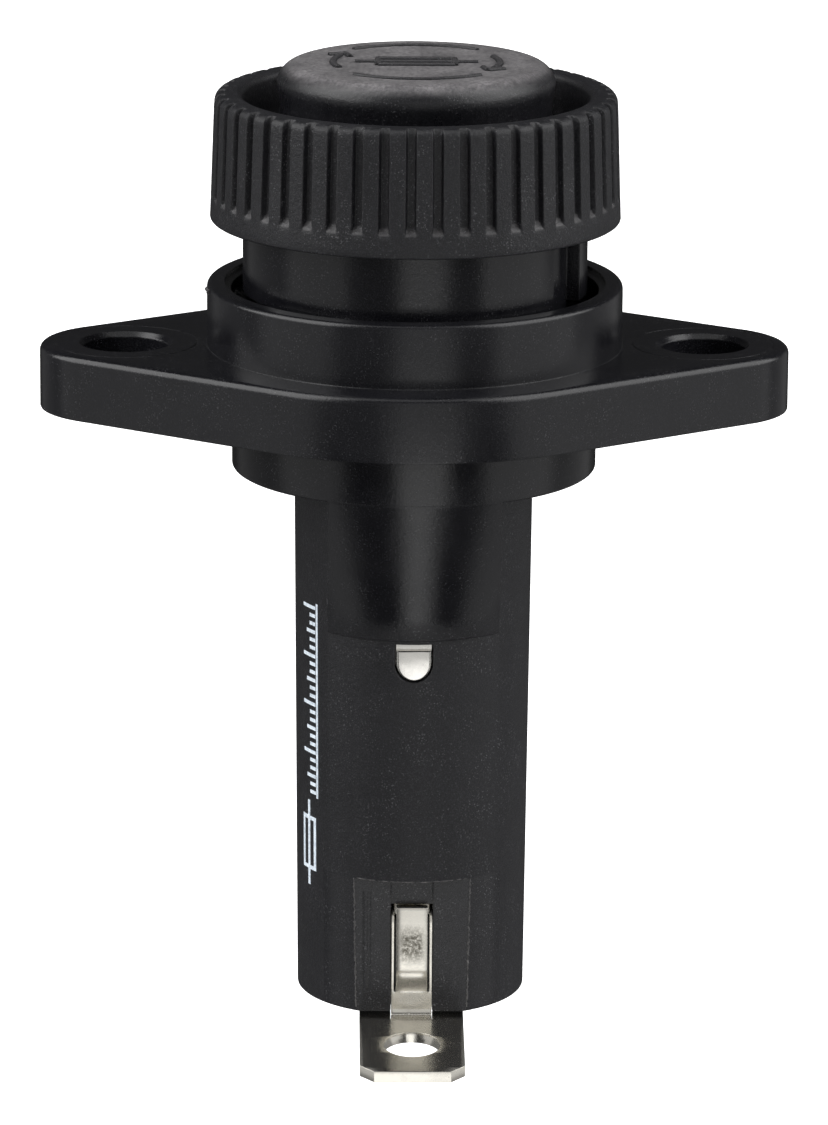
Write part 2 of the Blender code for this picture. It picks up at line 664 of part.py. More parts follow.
def knob_profile():
    """Button, ring, skirt and the hollow for the spring, from the top of the axis."""
    profile = [(0, BUTTON_TOP)]
    profile += arc((BUTTON_RADIUS - BUTTON_EDGE, BUTTON_TOP - BUTTON_EDGE), BUTTON_EDGE, 90, 0, 4)
    profile += [(BUTTON_RADIUS - 0.2, BUTTON_TOP - 2.4), (BUTTON_RADIUS, RING_FLOOR)]
    profile += [(RING_BORE_RADIUS, RING_FLOOR)]
    profile += arc((RING_BORE_RADIUS + RING_EDGE, RING_TOP - RING_EDGE), RING_EDGE, 180, 90, 2)
    profile += arc((RING_TOP_RADIUS - RING_EDGE, RING_TOP - RING_EDGE), RING_EDGE, 90, 0, 2)
    profile += [(RING_BOTTOM_RADIUS, RING_BOTTOM + RING_FOOT_EDGE)]
    profile += [(RING_BOTTOM_RADIUS - RING_FOOT_EDGE, RING_BOTTOM)]
    profile += [(SKIRT_RADIUS, RING_BOTTOM), (SKIRT_RADIUS, SKIRT_BOTTOM + 0.3)]
    profile += [(SKIRT_RADIUS - 0.3, SKIRT_BOTTOM), (SKIRT_BORE_RADIUS, SKIRT_BOTTOM)]
    profile += [(SKIRT_BORE_RADIUS, SKIRT_BORE_TOP), (BUTTON_BORE_RADIUS, SKIRT_BORE_TOP)]
    profile += [(BUTTON_BORE_RADIUS, BUTTON_BORE_TOP), (SOCKET_RADIUS, BUTTON_BORE_TOP)]
    profile += [(SOCKET_RADIUS, SOCKET_TOP), (0, SOCKET_TOP)]
    return profile


def flutes_mesh():
    """One block for each finger groove round the ring, leaning with the ring's draft."""
    height = RING_TOP + 1 - FLUTE_BOTTOM
    lean = math.atan((RING_BOTTOM_RADIUS - RING_TOP_RADIUS) / (RING_TOP - RING_BOTTOM))
    radius_at_foot = RING_BOTTOM_RADIUS - (FLUTE_BOTTOM - RING_BOTTOM) * math.tan(lean)
    bm = bmesh.new()
    for index in range(FLUTE_COUNT):
        spin = Matrix.Rotation(math.radians(FLUTE_PHASE + 360 * index / FLUTE_COUNT), 4, "Z")
        lean_in = Matrix.Translation(Vector((0, -radius_at_foot, FLUTE_BOTTOM)) * MM)
        lean_in = lean_in @ Matrix.Rotation(-lean, 4, "X")
        offset = Matrix.Translation(Vector((0, FLUTE_DEPTH - 1, height / 2)) * MM)
        size = Matrix.Diagonal((FLUTE_WIDTH * MM, 2 * MM, height * MM, 1.0))
        bmesh.ops.create_cube(bm, size=1.0, matrix=spin @ lean_in @ offset @ size)
    return mesh_from(bm, "flutes")


def build_knob():
    knob = add_piece("knob", turned_mesh("knob", knob_profile(), ROUND_STEPS), BLACK_PLASTIC)
    cut(knob, flutes_mesh())
    for side, turn in (("right", 0), ("left", 180)):
        centre = LUG_ANGLE + turn
        half = GROOVE_WIDTH / 2
        outside = SKIRT_RADIUS + 0.6
        cut(knob, sector_mesh(f"groove_{side}", (GROOVE_FLOOR_RADIUS, outside),
                              (SKIRT_BOTTOM - 0.5, RING_BOTTOM - 0.2), (centre - half, centre + half), 4))
        cut(knob, sector_mesh(f"channel_{side}", (GROOVE_FLOOR_RADIUS, outside),
                              (CHANNEL_BOTTOM, CHANNEL_TOP), (centre, centre + TURN_TO_LOCK + half), 16))
    return knob


def build_fuse_clip():
    """A cap with spring fingers that grip the fuse's upper ferrule."""
    roof_top = CLIP_ROOF_BOTTOM + CLIP_SHEET
    hole = STEM_RADIUS + GAP
    profile = [(hole, roof_top), (CLIP_ROOF_RADIUS, roof_top), (CLIP_ROOF_RADIUS, CLIP_ROOF_BOTTOM)]
    profile += [(CLIP_OUTER_RADIUS, CLIP_ROOF_BOTTOM), (CLIP_OUTER_RADIUS, CLIP_FINGER_BOTTOM)]
    profile += [(CLIP_INNER_RADIUS, CLIP_FINGER_BOTTOM), (CLIP_INNER_RADIUS, CLIP_ROOF_BOTTOM)]
    profile += [(hole, CLIP_ROOF_BOTTOM)]
    clip = add_piece("fuse_clip", turned_mesh("fuse_clip", profile, SMALL_STEPS, True), BRASS)
    slot_top = CLIP_ROOF_BOTTOM - 2
    for index in range(CLIP_SLOTS):
        angle = math.radians(45 + 360 * index / CLIP_SLOTS)
        middle = (math.sin(angle) * CLIP_OUTER_RADIUS, -math.cos(angle) * CLIP_OUTER_RADIUS)
        low = (middle[0] - CLIP_SLOT_WIDTH / 2, middle[1] - 1, CLIP_FINGER_BOTTOM - 1)
        high = (middle[0] + CLIP_SLOT_WIDTH / 2, middle[1] + 1, slot_top)
        cut(clip, box_mesh(f"slot_{index + 1}", low, high, Matrix.Rotation(angle, 4, "Z")))
    return clip


def build_clip_stem():
    """Guide pin fixed in the clip's roof; it slides in the knob's socket as the knob is pushed."""
    collar_bottom = CLIP_ROOF_BOTTOM + CLIP_SHEET + GAP
    collar_top = collar_bottom + 0.5
    bottom = FUSE_TOP + GAP
    profile = [(0, STEM_TOP), (STEM_RADIUS - 0.2, STEM_TOP), (STEM_RADIUS, STEM_TOP - 0.2)]
    profile += [(STEM_RADIUS, collar_top), (STEM_COLLAR_RADIUS, collar_top)]
    profile += [(STEM_COLLAR_RADIUS, collar_bottom)]
    profile += [(STEM_RADIUS, collar_bottom), (STEM_RADIUS, bottom), (0, bottom)]
    return turned_piece("clip_stem", profile, BRASS, 24)


def build_thrust_washer():
    top = BUTTON_BORE_TOP - GAP
    bottom = top - WASHER_THICKNESS
    profile = [(WASHER_BORE_RADIUS, top), (WASHER_RADIUS, top)]
    profile += [(WASHER_RADIUS, bottom), (WASHER_BORE_RADIUS, bottom)]
    return turned_piece("thrust_washer", profile, SPRING_STEEL, SMALL_STEPS, True)


def build_knob_spring():
    """A compression coil between the clip's roof and the thrust washer."""
    bottom = CLIP_ROOF_BOTTOM + CLIP_SHEET + GAP + SPRING_WIRE_RADIUS
    top = BUTTON_BORE_TOP - 2 * GAP - WASHER_THICKNESS - SPRING_WIRE_RADIUS
    per_turn = 18
    count = SPRING_TURNS * per_turn
    curve = bpy.data.curves.new("knob_spring", "CURVE")
    curve.dimensions = "3D"
    curve.bevel_depth = SPRING_WIRE_RADIUS * MM
    curve.bevel_resolution = 2
    curve.use_fill_caps = True
    spline = curve.splines.new("POLY")
    spline.points.add(count)
    for index, point in enumerate(spline.points):
        angle = 2 * math.pi * index / per_turn
        height = bottom + (top - bottom) * index / count
        place = Vector((SPRING_RADIUS * math.cos(angle), SPRING_RADIUS * math.sin(angle), height)) * MM
        point.co = (*place, 1)
    guide = bpy.data.objects.new("knob_spring_guide", curve)
    CUTTERS.objects.link(guide)
    bpy.context.view_layer.update()
    mesh = settled_mesh(guide, "knob_spring")
    bpy.data.curves.remove(curve)
    return smooth(add_piece("knob_spring", mesh, SPRING_STEEL))


def build_retaining_ring():
    """A split ring pressed into the skirt, which stops the clip from falling out of the knob."""
    bottom = RETAINING_TOP - RETAINING_THICKNESS
    profile = [(RETAINING_BORE_RADIUS, RETAINING_TOP), (RETAINING_RADIUS, RETAINING_TOP)]
    profile += [(RETAINING_RADIUS, bottom), (RETAINING_BORE_RADIUS, bottom)]
    ring = turned_piece("retaining_ring", profile, SPRING_STEEL, SMALL_STEPS, True)
    cut(ring, box_mesh("split", (-1, -9, bottom - 1), (1, -5, RETAINING_TOP + 1)))
    return ring


# ---------------------------------------------------------------- fuse

def build_ferrule(name, end, inward):
    """A metal cap at one end of the fuse; inward is +1 or -1 along Z towards the middle."""
    inner = FUSE_RADIUS - FERRULE_WALL
    edge = 0.4
    profile = [(0, end), (FUSE_RADIUS - edge, end), (FUSE_RADIUS, end + inward * edge)]
    profile += [(FUSE_RADIUS, end + inward * FERRULE_LENGTH), (inner, end + inward * FERRULE_LENGTH)]
    profile += [(inner, end + inward * FERRULE_END), (0, end + inward * FERRULE_END)]
    if inward > 0:
        profile.reverse()
    return turned_piece(name, profile, NICKEL)


def fuse_disc(name, low, high):
    disc = turned_piece(name, [(0, high), (TUBE_RADIUS, high), (TUBE_RADIUS, low), (0, low)], FIBRE)
    slot = (ELEMENT_HALF_WIDTH + GAP, ELEMENT_THICKNESS / 2 + GAP)
    cut(disc, box_mesh("slot", (-slot[0], -slot[1], low - 1), (slot[0], slot[1], high + 1)))
    return disc


def build_element(bottom, top):
    """The fusible link: a flat strip with pairs of notches that leave narrow necks."""
    low = (-ELEMENT_HALF_WIDTH, -ELEMENT_THICKNESS / 2, bottom)
    high = (ELEMENT_HALF_WIDTH, ELEMENT_THICKNESS / 2, top)
    element = add_piece("fuse_element", box_mesh("fuse_element", low, high), COPPER)
    for index in range(ELEMENT_NECKS):
        height = bottom + (top - bottom) * (index + 1) / (ELEMENT_NECKS + 1)
        for side in (-1, 1):
            label = f"notch_{index + 1}_{'right' if side > 0 else 'left'}"
            middle = (side * (ELEMENT_HALF_WIDTH + 0.1), 0, height)
            cut(element, rod_mesh(label, NOTCH_RADIUS, 2, middle, along_y(), 12))
    return element


def build_fuse():
    build_ferrule("upper_ferrule", FUSE_TOP, -1)
    build_ferrule("lower_ferrule", FUSE_BOTTOM, 1)
    reach = FERRULE_END + GAP
    upper = FUSE_TOP - reach
    lower = FUSE_BOTTOM + reach
    fuse_disc("upper_fuse_disc", upper - DISC_THICKNESS, upper)
    fuse_disc("lower_fuse_disc", lower, lower + DISC_THICKNESS)
    tube_top = upper - DISC_THICKNESS - GAP
    tube_bottom = lower + DISC_THICKNESS + GAP
    profile = [(TUBE_BORE_RADIUS, tube_top), (TUBE_RADIUS, tube_top), (TUBE_RADIUS, tube_bottom)]
    profile += [(TUBE_BORE_RADIUS, tube_bottom)]
    turned_piece("fuse_tube", profile, CERAMIC, SMALL_STEPS, True)
    sand_radius = TUBE_BORE_RADIUS - GAP
    profile = [(0, tube_top), (sand_radius, tube_top), (sand_radius, tube_bottom), (0, tube_bottom)]
    filler = turned_piece("fuse_filler", profile, SAND)
    slot = (ELEMENT_HALF_WIDTH + GAP, ELEMENT_THICKNESS / 2 + GAP)
    cut(filler, box_mesh("slot", (-slot[0], -slot[1], tube_bottom - 1), (slot[0], slot[1], tube_top + 1)))
    build_element(lower, upper)


clear_scene()
HOLDER = make_collection("cartridge_fuse_holder")
CUTTERS = make_collection("cutters")
FRAME = make_frame()
build_housing()
build_upper_contact()
build_side_terminal()
build_side_rivet()
build_end_terminal()
build_end_rivet()
build_knob()
build_fuse_clip()
build_clip_stem()
build_thrust_washer()
build_knob_spring()
build_retaining_ring()
build_fuse()
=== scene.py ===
import json
import math
import random

import bmesh
import bpy
from mathutils import Matrix, Vector


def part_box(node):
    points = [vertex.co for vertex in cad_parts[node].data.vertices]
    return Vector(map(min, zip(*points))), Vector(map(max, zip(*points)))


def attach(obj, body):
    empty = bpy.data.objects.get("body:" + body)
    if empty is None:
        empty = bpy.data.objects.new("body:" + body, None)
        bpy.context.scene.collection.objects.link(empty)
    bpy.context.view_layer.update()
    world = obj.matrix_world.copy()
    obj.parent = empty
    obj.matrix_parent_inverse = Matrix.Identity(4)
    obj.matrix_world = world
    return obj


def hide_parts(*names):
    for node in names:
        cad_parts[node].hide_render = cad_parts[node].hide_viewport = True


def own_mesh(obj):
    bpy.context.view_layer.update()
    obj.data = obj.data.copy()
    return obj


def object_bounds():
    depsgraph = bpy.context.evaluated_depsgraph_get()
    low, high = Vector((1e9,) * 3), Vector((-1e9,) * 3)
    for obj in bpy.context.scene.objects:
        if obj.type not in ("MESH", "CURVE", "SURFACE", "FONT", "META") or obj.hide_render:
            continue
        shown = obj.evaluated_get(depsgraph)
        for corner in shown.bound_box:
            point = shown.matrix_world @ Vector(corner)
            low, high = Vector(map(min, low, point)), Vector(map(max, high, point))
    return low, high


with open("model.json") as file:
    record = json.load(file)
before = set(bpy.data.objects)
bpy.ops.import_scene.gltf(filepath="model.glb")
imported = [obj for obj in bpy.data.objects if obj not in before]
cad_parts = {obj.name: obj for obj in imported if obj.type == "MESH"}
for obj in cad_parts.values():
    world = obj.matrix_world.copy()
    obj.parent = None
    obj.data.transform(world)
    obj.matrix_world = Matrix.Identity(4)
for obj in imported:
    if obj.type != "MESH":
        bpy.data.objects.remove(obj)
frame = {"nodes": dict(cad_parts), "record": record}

# Lengths are in millimetres and heights count from the flange's underside, the panel seat.
# Every mesh is finished in that frame and then scaled and lifted into the CAD frame by place().
MM = 0.001
CAD_LOW, CAD_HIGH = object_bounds()
RECORD = frame["record"]
MOUNTS = {mount["name"]: mount["pos_m"] for mount in RECORD["mounts"]}
BODIES = {node: body for body, nodes in RECORD["behaviour"]["bodies"].items() for node in nodes}
SEAT = MOUNTS["panel_seat"][2]


def node_heights(node):
    low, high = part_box(node)
    return (low.z - SEAT) / MM, (high.z - SEAT) / MM


BARREL_BOTTOM, COLLAR_TOP = node_heights("housing")
SKIRT_BOTTOM, BUTTON_TOP = node_heights("knob")
FUSE_TOP = node_heights("upper_ferrule")[1]
FUSE_BOTTOM = node_heights("lower_ferrule")[0]
CLIP_BOTTOM, CLIP_TOP = node_heights("fuse_clip")
HOLE_X = MOUNTS["screw_face_right"][0] / MM
FLANGE_TOP = 3.95
FLANGE_END_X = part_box("housing")[1].x / MM
FLANGE_RADIUS = 14.9

COLLAR_RADIUS = 12.56
BOSS_RADIUS = 11.05
BOSS_BOTTOM = -3.6
BUTTRESS_BOTTOM = -12.85
BUTTRESS_HALF_WIDTH = 5.2
BARREL_TOP_RADIUS = 7.25
BARREL_BOTTOM_RADIUS = 6.98
KNOB_BORE_RADIUS = 11.1
FUSE_BORE_RADIUS = 5.4
HOLE_RADIUS = 2.55
TAB_HALF_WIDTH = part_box("end_terminal")[1].x / MM
SHEET = 0.7
STRIP_Y = -5.75
FRONT_FLAT_Y = -6.1
FRONT_FLAT_TOP = -28.05
CHANNEL_HALF_WIDTH = 1.28
WINDOW_TOP = -13.05
WINDOW_BOTTOM = -15.45
REAR_PAD_FACE = 7.5
RIVET_Z = -12.75
SIDE_TAB_Z = (MOUNTS["side_tab_face"][2] - SEAT) / MM - SHEET / 2
LUG_ANGLE = 61.0
RING_TOP = 19.35
RING_BOTTOM = 11.7
FLUTES = 48
FLUTE_PITCH = 360 / FLUTES
FLUTE_SHIFT = 0.27
FLUTE_FOOT = (13.0, 13.6)
SKIRT_RADIUS = 10.4
PLATE_TOP = -30.45


# ---------------- mesh helpers

def arc(centre, radius, start, end, steps):
    """Points on an arc, angles in degrees from the first axis towards the second."""
    points = []
    for index in range(steps + 1):
        angle = math.radians(start + (end - start) * index / steps)
        points.append((centre[0] + radius * math.cos(angle), centre[1] + radius * math.sin(angle)))
    return points


def smoothstep(low, high, value):
    share = min(1.0, max(0.0, (value - low) / (high - low)))
    return share * share * (3 - 2 * share)


def barrel_radius(height):
    share = (BOSS_BOTTOM - height) / (BOSS_BOTTOM - BARREL_BOTTOM)
    return BARREL_TOP_RADIUS + (BARREL_BOTTOM_RADIUS - BARREL_TOP_RADIUS) * share


def on_axis(radius, angle, height):
    """A point round the axis; the angle counts in degrees from -Y towards +X."""
    turn = math.radians(angle)
    return Vector((math.sin(turn) * radius, -math.cos(turn) * radius, height))


def lathe(profile, steps=160, closed=False, angles=None, shape=None):
    """Revolve (radius, height) points. shape(radius, angle, height) may move a point's radius."""
    bm = bmesh.new()
    turns = angles or [360 * index / steps for index in range(steps)]
    rings = []
    for radius, height in profile:
        if radius < 1e-6:
            rings.append([bm.verts.new((0, 0, height))])
            continue
        ring = []
        for angle in turns:
            reach = shape(radius, angle, height) if shape else radius
            ring.append(bm.verts.new(on_axis(reach, angle, height)))
        rings.append(ring)
    pairs = list(zip(rings, rings[1:]))
    if closed:
        pairs.append((rings[-1], rings[0]))
    for upper, lower in pairs:
        for index in range(len(turns)):
            after = (index + 1) % len(turns)
            corners = [upper[index % len(upper)], upper[after % len(upper)]]
            corners += [lower[after % len(lower)], lower[index % len(lower)]]
            unique = list(dict.fromkeys(corners))
            if len(unique) > 2:
                bm.faces.new(unique)
    bmesh.ops.recalc_face_normals(bm, faces=bm.faces)
    return bm


def box(low, high, matrix=Matrix.Identity(4)):
    size = [top - bottom for bottom, top in zip(low, high)]
    centre = Vector([(bottom + top) / 2 for bottom, top in zip(low, high)])
    bm = bmesh.new()
    scale = Matrix.Diagonal((*size, 1.0))
    bmesh.ops.create_cube(bm, size=1.0, matrix=Matrix.Translation(centre) @ matrix @ scale)
    bmesh.ops.recalc_face_normals(bm, faces=bm.faces)
    return bm


def rod(radius, length, centre, direction, steps=48):
    matrix = Matrix.Translation(centre) @ Vector(direction).to_track_quat("Z", "Y").to_matrix().to_4x4()
    bm = bmesh.new()
    bmesh.ops.create_cone(bm, cap_ends=True, segments=steps, radius1=radius, radius2=radius,
                          depth=length, matrix=matrix)
    return bm


def to_mesh(bm, name="shape"):
    mesh = bpy.data.meshes.new(name)
    bm.to_mesh(mesh)
    bm.free()
    return mesh


def add_mesh(bm, other):
    """Copy another bmesh's faces into bm and free it."""
    mesh = to_mesh(other)
    bm.from_mesh(mesh)
    bpy.data.meshes.remove(mesh)
    return bm


def skinned(rings):
    """Join rings of points in order, close both ends and turn every face outwards."""
    bm = bmesh.new()
    rows = [[bm.verts.new(point) for point in ring] for ring in rings]
    for first, second in zip(rows, rows[1:]):
        for index in range(len(first)):
            after = (index + 1) % len(first)
            bm.faces.new((first[index], first[after], second[after], second[index]))
    bm.faces.new(rows[0])
    bm.faces.new(rows[-1])
    bmesh.ops.recalc_face_normals(bm, faces=bm.faces)
    return bm


def gathered(shapes):
    bm = bmesh.new()
    for shape in shapes:
        add_mesh(bm, shape)
    return bm


def evaluated(bm, setup):
    """Put bm on a temporary object, add modifiers with setup, and return the finished bmesh."""
    holder = bpy.data.objects.new("temporary", to_mesh(bm))
    bpy.context.scene.collection.objects.link(holder)
    helpers = setup(holder) or []
    depsgraph = bpy.context.evaluated_depsgraph_get()
    mesh = bpy.data.meshes.new_from_object(holder.evaluated_get(depsgraph))
    result = bmesh.new()
    result.from_mesh(mesh)
    bpy.data.meshes.remove(mesh)
    for item in [holder, *helpers]:
        bpy.data.objects.remove(item, do_unlink=True)
    return result


def combine(bm, tool, operation="DIFFERENCE", overlapping=False):
    def setup(holder):
        cutter = bpy.data.objects.new("cutter", to_mesh(tool))
        bpy.context.scene.collection.objects.link(cutter)
        modifier = holder.modifiers.new("combine", "BOOLEAN")
        modifier.operation = operation
        modifier.solver = "EXACT"
        modifier.use_self = overlapping
        modifier.object = cutter
        return [cutter]
    return evaluated(bm, setup)


def bevelled(bm, width, segments=2, angle=40):
    def setup(holder):
        modifier = holder.modifiers.new("edge", "BEVEL")
        modifier.width = width
        modifier.segments = segments
        modifier.limit_method = "ANGLE"
        modifier.angle_limit = math.radians(angle)
        modifier.use_clamp_overlap = True
    return evaluated(bm, setup)


def thickened(bm, thickness):
    def setup(holder):
        modifier = holder.modifiers.new("thickness", "SOLIDIFY")
        modifier.thickness = thickness
        modifier.offset = 0.0
        modifier.use_even_offset = True
    return evaluated(bm, setup)


def place(name, bm, material, node, sharp=20, instead=True):
    """Turn a finished shape into a piece that rides with a CAD node and, if instead is true, replaces it."""
    bmesh.ops.remove_doubles(bm, verts=bm.verts, dist=1e-5)
    bmesh.ops.transform(bm, matrix=Matrix.Translation((0, 0, SEAT)) @ Matrix.Scale(MM, 4), verts=bm.verts)
    mesh = to_mesh(bm, name)
    mesh.shade_smooth()
    mesh.set_sharp_from_angle(angle=math.radians(sharp))
    mesh.materials.clear()
    mesh.materials.append(material)
    piece = bpy.data.objects.new(name, mesh)
    bpy.context.scene.collection.objects.link(piece)
    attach(piece, BODIES[node])
    if instead:
        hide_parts(node)
    return piece


# ---------------- materials

class Nodes:
    """Short names for building the node tree of a material or the world."""

    def __init__(self, owner, coordinates="Object"):
        owner.use_nodes = True
        self.owner = owner
        self.tree = owner.node_tree
        self.place = self.add("ShaderNodeTexCoord").outputs[coordinates]

    def add(self, kind, **values):
        node = self.tree.nodes.new(kind)
        for key, value in values.items():
            setattr(node, key, value)
        return node

    def feed(self, socket, value):
        """Set a socket to a number or a colour, or link another node's output to it."""
        if isinstance(value, (int, float)):
            socket.default_value = value
        elif isinstance(value, tuple):
            socket.default_value = (*value, 1.0)
        else:
            self.tree.links.new(value, socket)

    def stretched(self, scale):
        mapping = self.add("ShaderNodeMapping")
        mapping.inputs["Scale"].default_value = scale
        self.feed(mapping.inputs["Vector"], self.place)
        return mapping.outputs["Vector"]

    def noise(self, size_mm, detail=2.0, roughness=0.5, vector=None, distortion=0.0):
        """Noise whose features are about size_mm across."""
        node = self.add("ShaderNodeTexNoise")
        settings = {"Scale": 1 / (size_mm * MM), "Detail": detail, "Roughness": roughness,
                    "Distortion": distortion, "Vector": vector or self.place}
        for name, value in settings.items():
            self.feed(node.inputs[name], value)
        return node.outputs["Fac"]

    def ramp(self, value, low, high, start=0.0, end=1.0, shape="LINEAR"):
        node = self.add("ShaderNodeMapRange", clamp=True, interpolation_type=shape)
        for socket, number in zip(node.inputs, (value, low, high, start, end)):
            self.feed(socket, number)
        return node.outputs["Result"]

    def blend(self, share, first, second):
        """A number that goes from first to second as share goes from 0 to 1."""
        return self.ramp(share, 0.0, 1.0, first, second)

    def maths(self, operation, *values):
        node = self.add("ShaderNodeMath", operation=operation)
        for socket, value in zip(node.inputs, values):
            self.feed(socket, value)
        return node.outputs["Value"]

    def times(self, first, second):
        return self.maths("MULTIPLY", first, second)

    def mix(self, factor, first, second):
        node = self.add("ShaderNodeMix", data_type="RGBA")
        for socket, value in zip((node.inputs["Factor"], *node.inputs[6:8]), (factor, first, second)):
            self.feed(socket, value)
        return node.outputs[2]

    def split(self, vector):
        """The X, Y and Z outputs of a vector."""
        node = self.add("ShaderNodeSeparateXYZ")
        self.feed(node.inputs["Vector"], vector)
        return node.outputs

    def axis(self, letter):
        """Millimetres along X or Y from the barrel's axis, or along Z from the panel seat."""
        start = -SEAT / MM if letter == "Z" else 0.0
        return self.maths("MULTIPLY_ADD", self.split(self.place)[letter], 1 / MM, start)

    def within(self, value, low, high, soft=0.1, shape="LINEAR"):
        """1 where value lies between low and high, 0 outside, with soft shoulders."""
        return self.times(self.ramp(value, low - soft, low + soft, shape=shape),
                          self.ramp(value, high + soft, high - soft, shape=shape))

    def facing_up(self, low, high):
        normal = self.add("ShaderNodeNewGeometry").outputs["Normal"]
        return self.ramp(self.split(normal)["Z"], low, high)

    def bump(self, height, depth_mm, strength=1.0, normal=None):
        node = self.add("ShaderNodeBump")
        self.feed(node.inputs["Strength"], strength)
        self.feed(node.inputs["Distance"], depth_mm * MM)
        self.feed(node.inputs["Height"], height)
        if normal is not None:
            self.feed(node.inputs["Normal"], normal)
        return node.outputs["Normal"]

    def rounded(self, radius_mm):
        node = self.add("ShaderNodeBevel", samples=4)
        node.inputs["Radius"].default_value = radius_mm * MM
        return node.outputs["Normal"]

    def edge_mask(self, radius_mm):
        """1 along convex and concave edges, fading to 0 on open faces."""
        dot = self.add("ShaderNodeVectorMath", operation="DOT_PRODUCT")
        self.feed(dot.inputs[0], self.rounded(radius_mm))
        self.feed(dot.inputs[1], self.add("ShaderNodeNewGeometry").outputs["Normal"])
        return self.ramp(dot.outputs["Value"], 0.995, 0.90)

    def set(self, **values):
        """Feed the main shader's sockets and return the finished material."""
        shader = self.tree.nodes["Principled BSDF"]
        for key, value in values.items():
            self.feed(shader.inputs[key.replace("_", " ")], value)
        return self.owner


BLACK_DARK, BLACK_PALE = (0.0060, 0.0060, 0.0078), (0.0092, 0.0092, 0.0115)
GRAIN_GREY, SPECK_GREY, WORN_GREY = (0.034, 0.034, 0.039), (0.16, 0.16, 0.17), (0.070, 0.070, 0.074)
# Greys for dust that also paint the light on upward-facing surfaces such as the button's top.
DUST_AND_TOP_LIGHT_DARK, DUST_AND_TOP_LIGHT_PALE = (0.150, 0.144, 0.150), (0.330, 0.316, 0.322)


def black_plastic(name, polished, dust_and_top_light, calm, rough):
    """Moulded phenolic: grained and matte, with pale specks and rubbed edges.

    Each of the first three arguments gives a mask from the material's nodes: polished is where the mould
    was polished, the second mask is where dust and painted light on upward-facing surfaces turn it grey,
    and calm is where the grain is flat.
    """
    nodes = Nodes(bpy.data.materials.new(name))
    smooth, pale, flat = polished(nodes), dust_and_top_light(nodes), calm(nodes)
    cloud = nodes.noise(3.5, 4.0, 0.6)
    flow = nodes.noise(1.6, 3.0, 0.6, nodes.stretched((1.0, 1.0, 0.18)))
    grain = nodes.noise(0.26, 3.0, 0.7)
    fine = nodes.noise(0.085, 2.0, 0.7)
    base = nodes.mix(nodes.ramp(cloud, 0.3, 0.7), BLACK_DARK, BLACK_PALE)
    grained = nodes.times(nodes.ramp(fine, 0.47, 0.66), nodes.blend(smooth, 0.62, 0.30))
    base = nodes.mix(grained, base, GRAIN_GREY)
    # Paler grey where the second mask is high: dust, and painted light on upward-facing surfaces.
    base = nodes.mix(pale, base, nodes.mix(nodes.ramp(grain, 0.35, 0.65), DUST_AND_TOP_LIGHT_DARK, DUST_AND_TOP_LIGHT_PALE))
    clusters = nodes.ramp(nodes.noise(2.2, 2.0, 0.6), 0.38, 0.66)
    specks = nodes.times(nodes.ramp(nodes.noise(0.11, 1.0, 0.4), 0.64, 0.71), clusters)
    specks = nodes.times(specks, nodes.blend(smooth, 0.65, 0.30))
    base = nodes.mix(specks, base, SPECK_GREY)
    worn = nodes.times(nodes.edge_mask(0.16), nodes.ramp(nodes.noise(0.7, 3.0), 0.35, 0.7))
    base = nodes.mix(nodes.times(worn, 0.45), base, WORN_GREY)
    matte = nodes.ramp(cloud, 0.3, 0.72, 0.40, 0.52)
    glossy = nodes.ramp(cloud, 0.3, 0.72, rough[0], rough[1])
    streaks = nodes.ramp(flow, 0.3, 0.7, -0.03, 0.03)
    roughness = nodes.maths("ADD", nodes.blend(smooth, matte, glossy), streaks)
    roughness = nodes.blend(flat, nodes.blend(pale, roughness, 0.36), 0.27)
    relief = nodes.maths("MULTIPLY_ADD", fine, 0.6, grain)
    relief = nodes.maths("ADD", nodes.times(cloud, 0.8), relief)
    strength = nodes.times(nodes.blend(smooth, 1.0, 0.24), nodes.blend(flat, 1.0, 0.25))
    normal = nodes.bump(relief, 0.040, strength, nodes.rounded(0.12))
    return nodes.set(Base_Color=base, Roughness=roughness, Specular_IOR_Level=0.5, Normal=normal)


def housing_polish(nodes):
    """The boss and everything above it, and the buttress, whose gloss dies out near its foot."""
    height = nodes.axis("Z")
    above = nodes.ramp(height, BOSS_BOTTOM - 0.1, BOSS_BOTTOM + 0.1)
    aside = nodes.maths("ABSOLUTE", nodes.axis("X"))
    across = nodes.ramp(aside, BUTTRESS_HALF_WIDTH + 0.1, BUTTRESS_HALF_WIDTH)
    front = nodes.ramp(nodes.axis("Y"), -5.0, -5.2)
    slope = nodes.times(nodes.ramp(height, BUTTRESS_BOTTOM, BUTTRESS_BOTTOM + 1.6), across)
    return nodes.maths("MAXIMUM", above, nodes.times(slope, front))


def housing_calm(nodes):
    """The front flat and the channel in it."""
    below = nodes.ramp(nodes.axis("Z"), FRONT_FLAT_TOP + 0.05, FRONT_FLAT_TOP - 0.05)
    return nodes.times(below, nodes.within(nodes.axis("Y"), -6.2, -4.5, 0.05))


def knob_polish(nodes):
    """The skirt below the ring, and the button's side down inside it."""
    skirt = nodes.within(nodes.axis("Z"), SKIRT_BOTTOM - 1, RING_BOTTOM)
    squares = [nodes.maths("POWER", nodes.axis(letter), 2.0) for letter in "XY"]
    near_axis = nodes.ramp(nodes.maths("ADD", *squares), 90.0, 86.0)
    button = nodes.times(near_axis, nodes.ramp(nodes.axis("Z"), 14.0, 14.5))
    return nodes.maths("MAXIMUM", skirt, nodes.times(button, 0.5))


